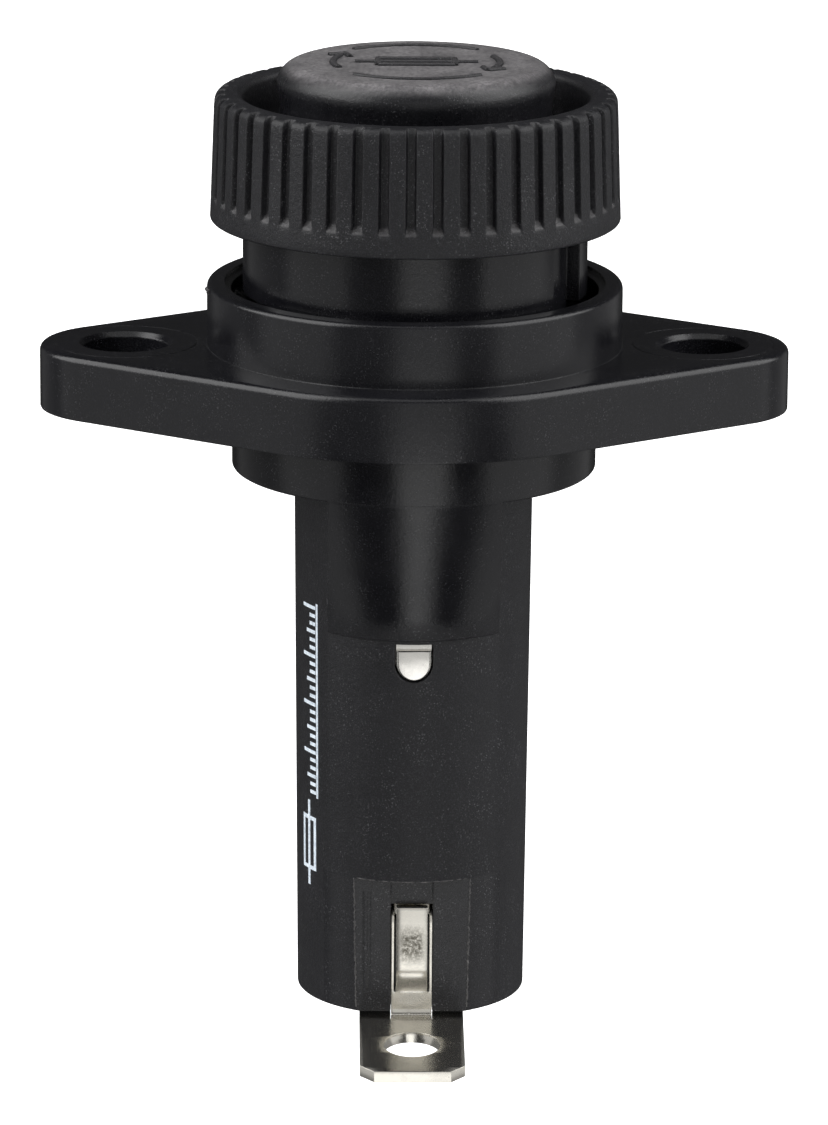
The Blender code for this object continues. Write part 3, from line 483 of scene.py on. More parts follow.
def knob_dust_and_top_light(nodes):
    """The button's top, and more faintly the ramps at the feet of the finger grooves: paler from dust and
    painted top light.
    """
    height = nodes.axis("Z")
    button = nodes.ramp(height, BUTTON_TOP - 0.9, BUTTON_TOP - 0.2)
    feet = nodes.times(nodes.within(height, 13.0, 13.55), 0.22)
    patchy = nodes.ramp(nodes.noise(2.6, 3.0, 0.6), 0.30, 0.70, 0.60, 1.0)
    top = nodes.times(nodes.times(button, patchy), nodes.facing_up(0.45, 0.92))
    return nodes.maths("MAXIMUM", top, nodes.times(feet, nodes.facing_up(0.25, 0.5)))


# The same dust and painted top light at a quarter strength, for the button's marks.
def faint_dust_and_top_light(nodes):
    return nodes.times(knob_dust_and_top_light(nodes), 0.25)


def nowhere(nodes):
    return nodes.times(0.0, 0.0)


def plated_metal(name, colour, rough_low, rough_high, wear=0.35, grain_depth=0.004, brushed=None, stain=None):
    """Plated sheet: tarnish clouds, fine pits, drawing lines and, where stain gives a mask, dark flecks."""
    nodes = Nodes(bpy.data.materials.new(name))
    cloud = nodes.noise(1.8, 5.0, 0.6, distortion=0.4)
    fine = nodes.noise(0.22, 4.0, 0.7)
    lines = nodes.noise(0.12, 2.0, 0.5, nodes.stretched(brushed or (1.0, 0.08, 0.08)))
    dull = tuple(part * 0.62 for part in colour)
    base = nodes.mix(nodes.times(nodes.ramp(cloud, 0.45, 0.72), wear), colour, dull)
    pits = nodes.ramp(nodes.noise(0.16, 2.0, 0.5), 0.72, 0.80)
    base = nodes.mix(nodes.times(pits, 0.5), base, (0.22, 0.20, 0.17))
    rough = nodes.maths("ADD", nodes.ramp(cloud, 0.3, 0.75, rough_low, rough_high),
                        nodes.ramp(fine, 0.35, 0.7, 0.0, 0.05))
    if stain:
        flecks = nodes.times(stain(nodes), nodes.ramp(nodes.noise(0.20, 4.0, 0.8), 0.32, 0.56))
        base = nodes.mix(nodes.times(flecks, 0.92), base, (0.12, 0.11, 0.085))
        rough = nodes.maths("MULTIPLY_ADD", flecks, 0.12, rough)
    height = nodes.maths("ADD", nodes.times(fine, 0.7), nodes.times(lines, 0.5))
    normal = nodes.bump(height, grain_depth, 1.0, nodes.rounded(0.03))
    return nodes.set(Base_Color=base, Metallic=1.0, Roughness=rough, Normal=normal)


def strip_stain(nodes):
    """A tarnished patch half-way up the end terminal's tongue."""
    height = nodes.within(nodes.axis("Z"), -33.1, -31.3, 0.45)
    across = nodes.ramp(nodes.maths("ABSOLUTE", nodes.axis("X")), 0.90, 0.50)
    front = nodes.ramp(nodes.axis("Y"), -5.6, -5.8)
    return nodes.times(height, nodes.times(across, front))


def powdery(name, light, dark, size_mm, depth_mm, rough):
    """Ceramic, fibre or sand: two tones broken up by grain."""
    nodes = Nodes(bpy.data.materials.new(name))
    grain = nodes.noise(size_mm, 4.0, 0.65)
    cloud = nodes.noise(size_mm * 9, 3.0, 0.6)
    share = nodes.times(nodes.ramp(grain, 0.3, 0.7), nodes.ramp(cloud, 0.2, 0.8, 0.5, 1.0))
    normal = nodes.bump(grain, depth_mm)
    roughness = nodes.ramp(cloud, 0.3, 0.7, rough - 0.08, rough + 0.08)
    return nodes.set(Base_Color=nodes.mix(share, light, dark), Roughness=roughness, Normal=normal)


def pad_print(name):
    """Thin pale ink with patchy cover that also glows faintly: painted light that brightens the print."""
    nodes = Nodes(bpy.data.materials.new(name))
    patch = nodes.ramp(nodes.noise(0.25, 3.0, 0.6), 0.32, 0.60)
    base = nodes.mix(patch, (0.46, 0.52, 0.58), (0.70, 0.77, 0.84))
    normal = nodes.bump(nodes.noise(0.15, 2.0), 0.01)
    # The emission is painted light: the ink glows with its own colour.
    return nodes.set(Base_Color=base, Roughness=0.6, Normal=normal, Emission_Color=base,
                     Emission_Strength=0.45)


BARREL_PLASTIC = black_plastic("housing_plastic", housing_polish, nowhere, housing_calm, (0.15, 0.24))
KNOB_PLASTIC = black_plastic("knob_plastic", knob_polish, knob_dust_and_top_light, nowhere, (0.11, 0.22))
MARK_PLASTIC = black_plastic("mark_plastic", nowhere, faint_dust_and_top_light, nowhere, (0.3, 0.4))
TAB_METAL = plated_metal("terminal_nickel", (0.87, 0.84, 0.76), 0.17, 0.25, wear=0.25,
                         grain_depth=0.0015, stain=strip_stain)
CONTACT_METAL = plated_metal("contact_nickel", (0.90, 0.88, 0.83), 0.16, 0.26, wear=0.15, grain_depth=0.002)
FERRULE_METAL = plated_metal("ferrule_nickel", (0.78, 0.76, 0.72), 0.12, 0.26, brushed=(1.0, 1.0, 12.0))
CLIP_METAL = plated_metal("clip_bronze", (0.76, 0.58, 0.33), 0.20, 0.36)
RIVET_BRASS = plated_metal("rivet_brass", (0.80, 0.64, 0.36), 0.20, 0.36)
STEEL = plated_metal("spring_steel", (0.52, 0.53, 0.55), 0.22, 0.38)
COPPER = plated_metal("element_copper", (0.80, 0.46, 0.32), 0.22, 0.40)
TUBE_CERAMIC = powdery("tube_ceramic", (0.80, 0.77, 0.70), (0.70, 0.66, 0.58), 0.12, 0.010, 0.5)
FIBRE = powdery("disc_fibre", (0.42, 0.31, 0.20), (0.30, 0.21, 0.13), 0.10, 0.02, 0.85)
SAND = powdery("filler_sand", (0.76, 0.70, 0.58), (0.50, 0.44, 0.34), 0.30, 0.10, 0.92)
GLOWING_INK = pad_print("pad_print_ink")
FLASH = powdery("mould_flash", (0.012, 0.012, 0.014), (0.22, 0.21, 0.21), 0.22, 0.03, 0.5)


# ---------------- housing

def flange_outline(inset):
    end_radius = FLANGE_END_X - HOLE_X
    tangent = math.degrees(math.acos((FLANGE_RADIUS - end_radius) / HOLE_X))
    points = arc((HOLE_X, 0), end_radius - inset, -tangent, tangent, 32)
    points += arc((0, 0), FLANGE_RADIUS - inset, tangent, 180 - tangent, 48)
    points += arc((-HOLE_X, 0), end_radius - inset, 180 - tangent, 180 + tangent, 32)
    points += arc((0, 0), FLANGE_RADIUS - inset, 180 + tangent, 360 - tangent, 48)
    return points


def build_flange():
    """The plate as a stack of outlines: a generous top edge and a nearly sharp bottom edge."""
    top_edge = 0.45
    bottom_edge = 0.12
    levels = [(bottom_edge, 0.0), (bottom_edge * 0.3, bottom_edge * 0.3), (0.0, bottom_edge)]
    for across, up in arc((0, 0), top_edge, 0, 90, 6):
        levels.append((top_edge - across, FLANGE_TOP - top_edge + up))
    return skinned([[(x, y, height) for x, y in flange_outline(inset)] for inset, height in levels])


def buttress():
    """A slice of cone that ramps from the boss's edge down to the barrel."""
    top = BOSS_BOTTOM + 0.4
    bottom = BUTTRESS_BOTTOM
    cone = lathe([(0, top), (BOSS_RADIUS - 0.03, top), (BOSS_RADIUS - 0.06, BOSS_BOTTOM),
                  (BARREL_TOP_RADIUS + 0.10, bottom + 0.08), (BARREL_TOP_RADIUS - 0.05, bottom), (0, bottom)])
    return combine(cone, box((-BUTTRESS_HALF_WIDTH, -20, -20), (BUTTRESS_HALF_WIDTH, -3, 0)), "INTERSECT")


def housing_outside():
    edge = 0.32
    profile = [(0, COLLAR_TOP)]
    profile += arc((COLLAR_RADIUS - edge, COLLAR_TOP - edge), edge, 90, 0, 5)
    profile += [(COLLAR_RADIUS, FLANGE_TOP / 2), (BOSS_RADIUS, FLANGE_TOP / 2)]
    profile += arc((BOSS_RADIUS - 0.22, BOSS_BOTTOM + 0.22), 0.22, 0, -90, 4)
    profile += [(BARREL_TOP_RADIUS + 0.35, BOSS_BOTTOM)]
    profile += arc((BARREL_TOP_RADIUS + 0.35, BOSS_BOTTOM - 0.35), 0.35, 90, 180, 4)
    profile += arc((BARREL_BOTTOM_RADIUS - 0.12, BARREL_BOTTOM + 0.12), 0.12, 0, -90, 3)
    profile += [(0, BARREL_BOTTOM)]
    return lathe(profile)


def housing_bore():
    above = COLLAR_TOP + 1
    step = KNOB_BORE_RADIUS + 0.4
    return lathe([(0, above), (step, above), (step, COLLAR_TOP - 0.25), (KNOB_BORE_RADIUS, COLLAR_TOP - 0.4),
                  (KNOB_BORE_RADIUS, 1.05), (8.9, 1.05), (8.9, -2.65), (FUSE_BORE_RADIUS, -2.65),
                  (FUSE_BORE_RADIUS, -31.1), (0, -31.1)])


def sector(radii, heights, angles, steps):
    """A block swept round the axis between two angles."""
    corners = ((radii[0], heights[0]), (radii[1], heights[0]), (radii[1], heights[1]), (radii[0], heights[1]))
    bm = bmesh.new()
    verts = [bm.verts.new(on_axis(radius, angles[0], height)) for radius, height in corners]
    bm.faces.new(verts)
    bmesh.ops.spin(bm, geom=bm.verts[:] + bm.edges[:] + bm.faces[:], cent=(0, 0, 0), axis=(0, 0, 1),
                   angle=math.radians(angles[1] - angles[0]), steps=steps, use_duplicate=False)
    bmesh.ops.remove_doubles(bm, verts=bm.verts, dist=1e-5)
    bmesh.ops.recalc_face_normals(bm, faces=bm.faces)
    return bm


def housing_cutters():
    """The openings, in groups whose members stay clear of one another.

    First the front flat, the hollow foot, the screw holes and their witness rings; then the channel, the
    rear slot and the window; then the channel's opening into the foot, the rivet hole and the window's
    round end; last the pocket behind the window and two scribed lines on the front flat.
    """
    below = BARREL_BOTTOM - 1
    half = CHANNEL_HALF_WIDTH
    up = (0, 0, 1)
    back = (0, 1, 0)
    first = [box((-6, -9, below), (6, FRONT_FLAT_Y, FRONT_FLAT_TOP)), rod(4.55, 4.8, (0, 0, -35.15), up, 96)]
    for side in (-1, 1):
        hole = lathe([(0, 9), (HOLE_RADIUS + 0.3, 9), (HOLE_RADIUS + 0.3, FLANGE_TOP + 0.02),
                      (HOLE_RADIUS, FLANGE_TOP - 0.28), (HOLE_RADIUS, 0.28),
                      (HOLE_RADIUS + 0.3, -0.02), (HOLE_RADIUS + 0.3, -3), (0, -3)], 64)
        mark = lathe([(4.20, FLANGE_TOP + 0.05), (4.38, FLANGE_TOP + 0.05), (4.29, FLANGE_TOP - 0.06)],
                     96, True)
        for cutter in (hole, mark):
            bmesh.ops.translate(cutter, verts=cutter.verts, vec=(side * HOLE_X, 0, 0))
            first.append(cutter)
    round_z = WINDOW_BOTTOM + 1.15
    second = [box((-half, -8, below - 1), (half, -5.85, FRONT_FLAT_TOP - 0.15)),
              box((-2.0, 4, RIVET_Z - 2.4), (2.0, 6.55, -2.15)),
              box((-1.15, -9, round_z), (1.15, -5, WINDOW_TOP))]
    third = [box((0.02 - half, -7.5, below - 2), (half - 0.02, -4.9, -29.8)),
             rod(1.3, 6, (0, 7, RIVET_Z), back), rod(1.152, 4, (0, -7, round_z), back),
             rod(1.5, 6, (0, 0, -33), up)]
    fourth = [box((-1.4, -6.55, WINDOW_BOTTOM - 0.9), (1.4, -4, -2.15))]
    for x, width in ((-2.62, 0.10), (-2.95, 0.05)):
        low = (x - width, FRONT_FLAT_Y - 0.1, BARREL_BOTTOM + 1.4)
        fourth.append(box(low, (x + width, FRONT_FLAT_Y + 0.03, FRONT_FLAT_TOP - 0.9)))
    return first, second, third, fourth


def build_housing():
    flange = build_flange()
    pad = bevelled(box((-3.6, 4.5, -17.75), (3.6, REAR_PAD_FACE, -9.55)), 0.25, 3)
    shell = combine(housing_outside(), gathered([flange, buttress(), pad]), "UNION")
    shell = combine(shell, housing_bore())
    lugs = []
    for turn in (0, 180):
        angles = (LUG_ANGLE + turn - 7, LUG_ANGLE + turn + 7)
        lugs.append(bevelled(sector((9.8, KNOB_BORE_RADIUS + 0.4), (4.4, 5.7), angles, 8), 0.15, 2))
    shell = combine(shell, gathered(lugs), "UNION")
    for cutters in housing_cutters():
        shell = combine(shell, gathered(cutters))
    return place("housing_shell", shell, BARREL_PLASTIC, "housing", 16)


def ridge(points, radius, seed, sides=6):
    """A thin uneven bead of moulding flash along a path."""
    chance = random.Random(seed)
    rings = []
    path = [Vector(point) for point in points]
    section = [Vector((*corner, 0)) for corner in arc((0, 0), 1, 0, 360, sides)[:-1]]
    for index, point in enumerate(path):
        ahead = path[min(index + 1, len(path) - 1)] - path[max(index - 1, 0)]
        turn = ahead.to_track_quat("Z", "Y").to_matrix()
        size = radius * chance.uniform(0.45, 1.5)
        shift = Vector([chance.uniform(-1, 1) * radius * 0.45 for _ in range(3)])
        rings.append([point + shift + turn @ corner * size for corner in section])
    return skinned(rings)


def build_flash():
    """Ragged edges left by the mould round the front flat, and one burr on the collar."""
    top = FRONT_FLAT_TOP
    steps = 70
    beads = []
    for side, seed in ((-1, 3), (1, 4)):
        path = []
        for index in range(steps + 1):
            height = top + (BARREL_BOTTOM + 0.3 - top) * index / steps
            across = math.sqrt(barrel_radius(height) ** 2 - FRONT_FLAT_Y ** 2)
            path.append((side * across, FRONT_FLAT_Y, height))
        beads.append(ridge(path, 0.055, seed))
    path = []
    reach = math.degrees(math.asin(3.35 / barrel_radius(top)))
    for index in range(41):
        path.append(on_axis(barrel_radius(top) - 0.02, -reach + 2 * reach * index / 40, top))
    beads.append(ridge(path, 0.035, 5))
    path = [on_axis(COLLAR_RADIUS + 0.02, angle, COLLAR_TOP - 0.35) for angle in range(-86, -78, 2)]
    beads.append(ridge(path, 0.14, 6))
    return place("mould_flash", gathered(beads), FLASH, "housing", 60, instead=False)


# ---------------- print on the barrel

def barrel_patch(angles, heights, across=6, along=6):
    """A thin rectangle of ink wrapped on the barrel."""
    bm = bmesh.new()
    rows = []
    for row in range(along + 1):
        height = heights[0] + (heights[1] - heights[0]) * row / along
        line = []
        for column in range(across + 1):
            angle = angles[0] + (angles[1] - angles[0]) * column / across
            line.append(bm.verts.new(on_axis(barrel_radius(height) + 0.012, angle, height)))
        rows.append(line)
    for first, second in zip(rows, rows[1:]):
        for column in range(across):
            bm.faces.new((first[column], first[column + 1], second[column + 1], second[column]))
    return bm


def build_print():
    """A plain graduated scale with a fuse symbol: a box with a line through it."""
    marks = []
    top, bottom = -11.65, -23.35
    count = 24
    left, right = -69.0, -56.0
    for index in range(count):
        height = top + (bottom - top) * index / (count - 1)
        reach = 11.5 if index % 6 == 0 else (8.0 if index % 3 == 0 else 5.0)
        marks.append(barrel_patch((right - reach, right), (height - 0.11, height + 0.11), 4, 1))
    marks.append(barrel_patch((-55.4, -54.0), (bottom - 0.3, top + 0.3), 1, 10))
    low, high = -28.35, -24.95
    line = 0.24
    slim = math.degrees(line / BARREL_BOTTOM_RADIUS)
    inside = (left + slim, right - slim)
    middle = (left + right) / 2
    marks += [barrel_patch(angles, (low, high), 1, 6) for angles in ((left, inside[0]), (inside[1], right))]
    marks += [barrel_patch(inside, heights, 6, 1) for heights in ((low, low + line), (high - line, high))]
    marks.append(barrel_patch((middle - slim / 2, middle + slim / 2), (low - 1.0, high + 1.0), 1, 8))
    ink = thickened(gathered(marks), 0.02)
    return place("barrel_scale_print", ink, GLOWING_INK, "housing", instead=False)


# ---------------- knob

def flute_angles():
    """Columns for one flute pitch, close together at the groove's walls, repeated round the ring."""
    shares = (0.0, 0.09, 0.145, 0.175, 0.205, 0.24, 0.33, 0.42)
    shares += (0.5, *(1 - share for share in reversed(shares[1:])))
    return [(flute - FLUTE_SHIFT + share) * FLUTE_PITCH for flute in range(FLUTES) for share in shares]


def ring_outer_radius(height):
    return 12.37 + (12.1 - 12.37) * (height - RING_BOTTOM) / (RING_TOP - RING_BOTTOM)


def in_bayonet_groove(angle, height):
    """True where the skirt is cut for the housing's lugs: an upright slot and a channel round it."""
    for turn in (0, 180):
        away = (angle - LUG_ANGLE - turn + 180) % 360 - 180
        if abs(away) < 9:
            return True
        if 4.25 < height < 7.35 and -9 < away < 89:
            return True
    return False


def knob_radius(radius, angle, height):
    if radius > 11.2 and height > RING_BOTTOM + 0.3:
        share = abs(((angle / FLUTE_PITCH + FLUTE_SHIFT) + 0.5) % 1.0 - 0.5)
        foot = smoothstep(*FLUTE_FOOT, height)
        half = 0.175 + 0.06 * (1 - foot)
        depth = 0.40 * foot * (1 - smoothstep(half - 0.025, half + 0.025, share))
        inward = smoothstep(11.3, 12.0, radius)
        return radius - depth * inward
    if abs(radius - SKIRT_RADIUS) < 0.01 and SKIRT_BOTTOM + 0.2 < height < RING_BOTTOM - 0.1:
        return 9.6 if in_bayonet_groove(angle, height) else radius
    return radius


def knob_profile():
    top = BUTTON_TOP
    profile = [(0, top), (3.0, top), (5.5, top), (6.9, top)]
    profile += arc((7.08, top - 1.28), 1.28, 84, 8, 10)
    profile += [(8.31, top - 1.5), (8.22, top - 2.0), (8.17, top - 2.6), (8.2, top - 3.2), (8.32, top - 3.9)]
    profile += [(8.40, 15.25), (8.46, 14.15)]
    profile += arc((8.8, 14.09), 0.34, 180, 270, 4)
    profile += [(10.1, 13.75), (10.36, 14.01), (10.4, 15.75), (10.42, 17.85)]
    profile += arc((10.84, RING_TOP - 0.42), 0.42, 180, 90, 5)
    profile += [(11.15, RING_TOP), (11.45, RING_TOP)]
    profile += arc((ring_outer_radius(RING_TOP) - 0.5, RING_TOP - 0.5), 0.5, 90, 4, 7)
    for height in (18.4, 17.6, 16.8, 16.0, 15.2, 14.4, 13.95, 13.6, 13.45, 13.3, 13.15, 13.0, 12.7, 12.3):
        profile.append((ring_outer_radius(height), height))
    profile += arc((ring_outer_radius(RING_BOTTOM) - 0.15, RING_BOTTOM + 0.15), 0.15, 0, -90, 4)
    profile += [(10.75, RING_BOTTOM), (10.45, RING_BOTTOM)]
    for height in (RING_BOTTOM - 0.05, RING_BOTTOM - 0.15, 9.5, 7.37, 7.33, 5.5, 4.27, 4.23, 3.6):
        profile.append((SKIRT_RADIUS, height))
    profile += [(SKIRT_RADIUS, SKIRT_BOTTOM + 0.22), (SKIRT_RADIUS - 0.02, SKIRT_BOTTOM + 0.12)]
    profile += [(SKIRT_RADIUS - 0.15, SKIRT_BOTTOM), (8.6, SKIRT_BOTTOM), (8.4, SKIRT_BOTTOM + 0.2)]
    profile += [(8.4, 11.55), (6.5, 11.55), (6.5, 17.85), (1.6, 17.85), (1.6, 20.15), (0, 20.15)]
    return profile


def build_knob():
    bm = lathe(knob_profile(), angles=flute_angles(), shape=knob_radius)
    return place("knob_body", bm, KNOB_PLASTIC, "knob", 38)


def strip_on_top(path, half_width, height):
    """A low rounded rib along a flat path on the button's top."""
    rings = []
    section = ((-1.0, -0.05), (-0.85, 0.6), (-0.45, 1.0), (0.45, 1.0), (0.85, 0.6), (1.0, -0.05))
    points = [Vector(point) for point in path]
    for index, point in enumerate(points):
        ahead = (points[min(index + 1, len(points) - 1)] - points[max(index - 1, 0)]).normalized()
        sideways = Vector((-ahead.y, ahead.x)) * half_width
        rings.append([(*(point + sideways * across), BUTTON_TOP + up * height) for across, up in section])
    return skinned(rings)


def build_button_marks():
    """Raised guide marks: two arcs, a fuse symbol and two arrowheads for the turning direction."""
    ribs = []
    for middle in (90, 270):
        ribs.append(strip_on_top(arc((0, 0), 5.6, middle - 42, middle + 42, 40), 0.16, 0.14))
    for middle in (0, 180):
        ribs.append(strip_on_top(arc((0, 0), 5.0, middle - 24, middle + 22, 24), 0.22, 0.16))
        tip = Vector(arc((0, 0), 5.0, middle - 32, middle - 32, 1)[0])
        for radius in (4.3, 5.7):
            wing = Vector(arc((0, 0), radius, middle - 23, middle - 23, 1)[0])
            ribs.append(strip_on_top([wing, wing.lerp(tip, 0.5), tip], 0.2, 0.16))
    wide, deep = 2.3, 1.0
    corners = [(-wide, -deep), (wide, -deep), (wide, deep), (-wide, deep)]
    for start, end in zip(corners, corners[1:] + corners[:1]):
        ribs.append(strip_on_top([start, Vector(start).lerp(Vector(end), 0.5), end], 0.2, 0.16))
    ribs.append(strip_on_top([(-3.7, 0), (0, 0), (3.7, 0)], 0.18, 0.15))
    return place("button_guide_marks", gathered(ribs), MARK_PLASTIC, "knob", 50, instead=False)


# ---------------- bent sheet pieces

def filleted(corners, radius, steps):
    """Round the inner corners of a (y, z) path with arcs of one radius."""
    points = [Vector(corners[0])]
    for before, corner, after in zip(corners, corners[1:], corners[2:]):
        corner = Vector(corner)
        back = (Vector(before) - corner).normalized()
        ahead = (Vector(after) - corner).normalized()
        half = back.angle(ahead) / 2
        reach = radius / math.tan(half)
        centre = corner + (back + ahead).normalized() * (radius / math.sin(half))
        start = corner + back * reach - centre
        end = corner + ahead * reach - centre
        sweep = start.angle_signed(end)
        for index in range(steps + 1):
            points.append(centre + Matrix.Rotation(-sweep * index / steps, 2) @ start)
    points.append(Vector(corners[-1]))
    return points


def resampled(path, step):
    """Extra points along the straight stretches, so that cuts and offsets can follow them."""
    points = [path[0]]
    for first, second in zip(path, path[1:]):
        count = max(1, round((second - first).length / step))
        points += [first.lerp(second, index / count) for index in range(1, count + 1)]
    return points


def sheet(path, columns, keep=None, shape=None):
    """A sheet bent along a (y, z) path. keep(x, row) says which cells exist; shape(x, row) places a point."""
    bm = bmesh.new()
    rows = []
    for row, point in enumerate(path):
        spots = [shape(x, row) if shape else point for x in columns]
        rows.append([bm.verts.new((x, spot.x, spot.y)) for x, spot in zip(columns, spots)])
    for row, (upper, lower) in enumerate(zip(rows, rows[1:])):
        for index in range(len(columns) - 1):
            if keep is None or keep((columns[index] + columns[index + 1]) / 2, row):
                bm.faces.new((upper[index], upper[index + 1], lower[index + 1], lower[index]))
    loose = [vert for vert in bm.verts if not vert.link_faces]
    bmesh.ops.delete(bm, geom=loose, context="VERTS")
    return thickened(bm, SHEET)


def cut_tab(bm, end, direction, hole_back):
    """Cut a quick-connect tab's hole and clipped corners, and soften its edges."""
    along = Vector((0, *direction)).normalized()
    up = Vector((0, -along.z, along.y))
    if up.z < 0:
        up.negate()
    tip = Vector((0, *end))
    basis = Matrix((Vector((1, 0, 0)), along, up)).transposed().to_4x4()
    bm = combine(bm, rod(1.72, 4, tip - along * hole_back, up, 64))
    half, clipped = 1.5, 0.85
    size = Vector((half, half, 2))
    for side in (-1, 1):
        outward = (Vector((side, 0, 0)) + along).normalized()
        centre = tip + Vector((side * TAB_HALF_WIDTH, 0, 0)) + outward * (half - clipped / math.sqrt(2))
        corner = box(centre - size, centre + size, basis @ Matrix.Rotation(math.radians(45), 4, "Z"))
        bm = combine(bm, corner)
    return bevelled(bm, 0.035, 2, 50)


def build_end_terminal():
    """Plate under the fuse, strip with a lanced tongue down the front, and the drooping tab.

    The tongue stays straight where the strip bends in under the fuse. The tab's shoulders are cut free
    from the strip's lower bend and run straight back under the barrel.
    """
    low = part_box("end_terminal")[0]
    droop = math.radians(6.5)
    end = Vector((-14.0, (low.z - SEAT) / MM + SHEET / 2 * math.cos(droop)))
    start = Vector((STRIP_Y, end.y + (STRIP_Y - end.x) * math.tan(droop)))
    middle = Vector((STRIP_Y, -33.0))
    upper = filleted([(3.3, PLATE_TOP), (STRIP_Y, PLATE_TOP), middle], 0.45, 8)
    path = resampled(upper[:-1] + filleted([middle, start, end], 0.8, 12), 0.16)
    from_end = [0.0]
    for after, before in zip(reversed(path), reversed(path[:-1])):
        from_end.insert(0, from_end[0] + (after - before).length)
    straight = from_end[path.index(middle)]
    inward = (start - end).normalized()
    flat_length = (start - end).length - 0.72
    shoulder_length = (-5.45 - end.x) / inward.x
    tongue_top, tongue_root = -29.95, -35.4
    strip, slit_out, slit_in, shoulder = 1.24, 1.08, 0.95, 1.27
    outer = [-TAB_HALF_WIDTH, -2.9, -shoulder, -strip, -slit_out, -slit_in]
    columns = outer + [-0.5, 0, 0.5] + [-x for x in reversed(outer)]

    def tongue_height(row):
        return middle.y + from_end[row] - straight

    def shape(x, row):
        if abs(x) > shoulder - 0.01 and from_end[row] < shoulder_length + 1:
            return end + inward * from_end[row]
        height = tongue_height(row)
        if abs(x) > slit_in + 0.01 or not tongue_root < height < tongue_top + 0.2:
            return path[row]
        share = (tongue_top - height) / (tongue_top - tongue_root)
        bow = 0.42 * (1 - smoothstep(0.70, 1.0, share)) + 0.08 * math.sin(math.pi * share)
        return Vector((STRIP_Y - bow, height))

    def keep(x, row):
        if abs(x) > shoulder:
            return from_end[row] < shoulder_length or (abs(x) < 2.9 and path[row].x > -4.3)
        if abs(x) > strip:
            return from_end[row] < flat_length or path[row].x > -4.3
        height = (tongue_height(row) + tongue_height(row + 1)) / 2
        opened = tongue_root < height < tongue_top + 0.3
        return not opened or (abs(x) < slit_in and height < tongue_top) or abs(x) > slit_out

    bm = cut_tab(sheet(path, columns, keep, shape), end, end - start, 3.8)
    bm = combine(bm, rod(1.5, 3, (0, 0, PLATE_TOP), (0, 0, 1)))
    return place("end_terminal_sheet", bm, TAB_METAL, "end_terminal", 30)


def build_side_terminal():
    foot = REAR_PAD_FACE + 0.3 + SHEET / 2
    end = Vector((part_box("side_terminal")[1].y / MM, SIDE_TAB_Z))
    path = resampled(filleted([(foot, -10.15), (foot, SIDE_TAB_Z), end], 0.8, 10), 0.5)
    columns = [-TAB_HALF_WIDTH, -1.6, 0, 1.6, TAB_HALF_WIDTH]
    bm = cut_tab(sheet(path, columns), end, Vector((1, 0)), 3.8)
    bm = combine(bm, rod(1.3, 3, (0, foot, RIVET_Z), (0, 1, 0)))
    return place("side_terminal_sheet", bm, TAB_METAL, "side_terminal", 30)


def d_outline(half_width, top, bottom, steps=20):
    """(x, z) points of a D stood on its round side."""
    return [(half_width, top), *arc((0, bottom + half_width), half_width, 0, -180, steps), (-half_width, top)]


def d_boss(half_width, top, bottom, back, face, edge, lean=0.0):
    """A D-shaped boss raised towards -Y with a rounded edge; lean brings its top forwards."""
    levels = [(0.0, back)] + [(edge - edge * math.cos(turn), face + edge - edge * math.sin(turn))
                              for turn in (0.0, 0.4, 0.8, 1.2, math.pi / 2)]
    rings = []
    for inset, y in levels:
        outline = d_outline(half_width - inset, top - inset * 0.5, bottom + inset)
        rings.append([(x, y - lean * (z - bottom) * (y < back), z) for x, z in outline])
    return skinned(rings)


def build_upper_contact():
    """Contact ring, front leg with the half-sheared boss that locks it in the window, and rear leg."""
    profile = [(5.95, -0.25), (6.35, -0.25), (6.35, -1.95), (8.4, -1.95), (8.4, -2.35), (5.95, -2.35)]
    ring = bevelled(lathe(profile, 96, True), 0.06, 2)
    front = bevelled(box((-1.12, -6.15, WINDOW_BOTTOM - 0.75), (1.12, -5.85, -2.05)), 0.06, 2)
    rear = bevelled(box((-1.7, 5.85, RIVET_Z - 2.1), (1.7, 6.25, -2.05)), 0.08, 2)
    shape = combine(ring, gathered([front, rear]), "UNION")
    shape = combine(shape, rod(1.2, 2, (0, 6.05, RIVET_Z), (0, 1, 0)))
    platform = d_boss(1.12, WINDOW_TOP - 0.03, WINDOW_BOTTOM + 0.03, -6.0, -6.72, 0.06)
    shape = combine(shape, platform, "UNION")
    boss = d_boss(1.05, WINDOW_TOP - 0.42, WINDOW_BOTTOM + 0.08, -6.5, -7.06, 0.15, lean=0.02)
    shape = combine(shape, boss, "UNION")
    return place("upper_contact_sheet", shape, CONTACT_METAL, "upper_contact", 30)


# ---------------- small turned pieces

def build_side_rivet():
    head = REAR_PAD_FACE + SHEET + 0.6
    shank, foot = 1.0, 5.85
    profile = [(0, head + 0.75), *arc((0, head - 1.35), 2.1, 80, 25, 6), (1.9, head)]
    profile += [(shank, head), (shank, foot), (0, foot)]
    bm = lathe(profile, 64)
    lie_back = Matrix.Translation((0, 0, RIVET_Z)) @ Matrix.Rotation(math.radians(-90), 4, "X")
    bmesh.ops.transform(bm, matrix=lie_back, verts=bm.verts)
    return place("side_rivet", bm, RIVET_BRASS, "side_terminal_rivet", 30)


def build_ferrule(name, node, end, inward):
    """A drawn cap with a rolled groove near its mouth; its profile counts depths from the fuse's end."""
    outer, inner, edge = 5.16, 4.8, 0.4
    profile = [(0, 0), (4.2, 0), (4.7, 0.05)]
    for turn in (0.35, 0.8, 1.25, 1.57):
        profile.append((outer - edge + edge * math.sin(turn), 0.45 - edge * math.cos(turn)))
    profile += [(outer, 7.6), (5.12, 7.8), (5.0, 8.1), (5.12, 8.4), (outer, 8.6)]
    profile += [(outer, 9.8), (5.08, 10.0), (inner, 10.0), (inner, 0.5), (0, 0.5)]
    bm = lathe([(radius, end + inward * depth) for radius, depth in profile], 128)
    return place(name, bm, FERRULE_METAL, node, 30)


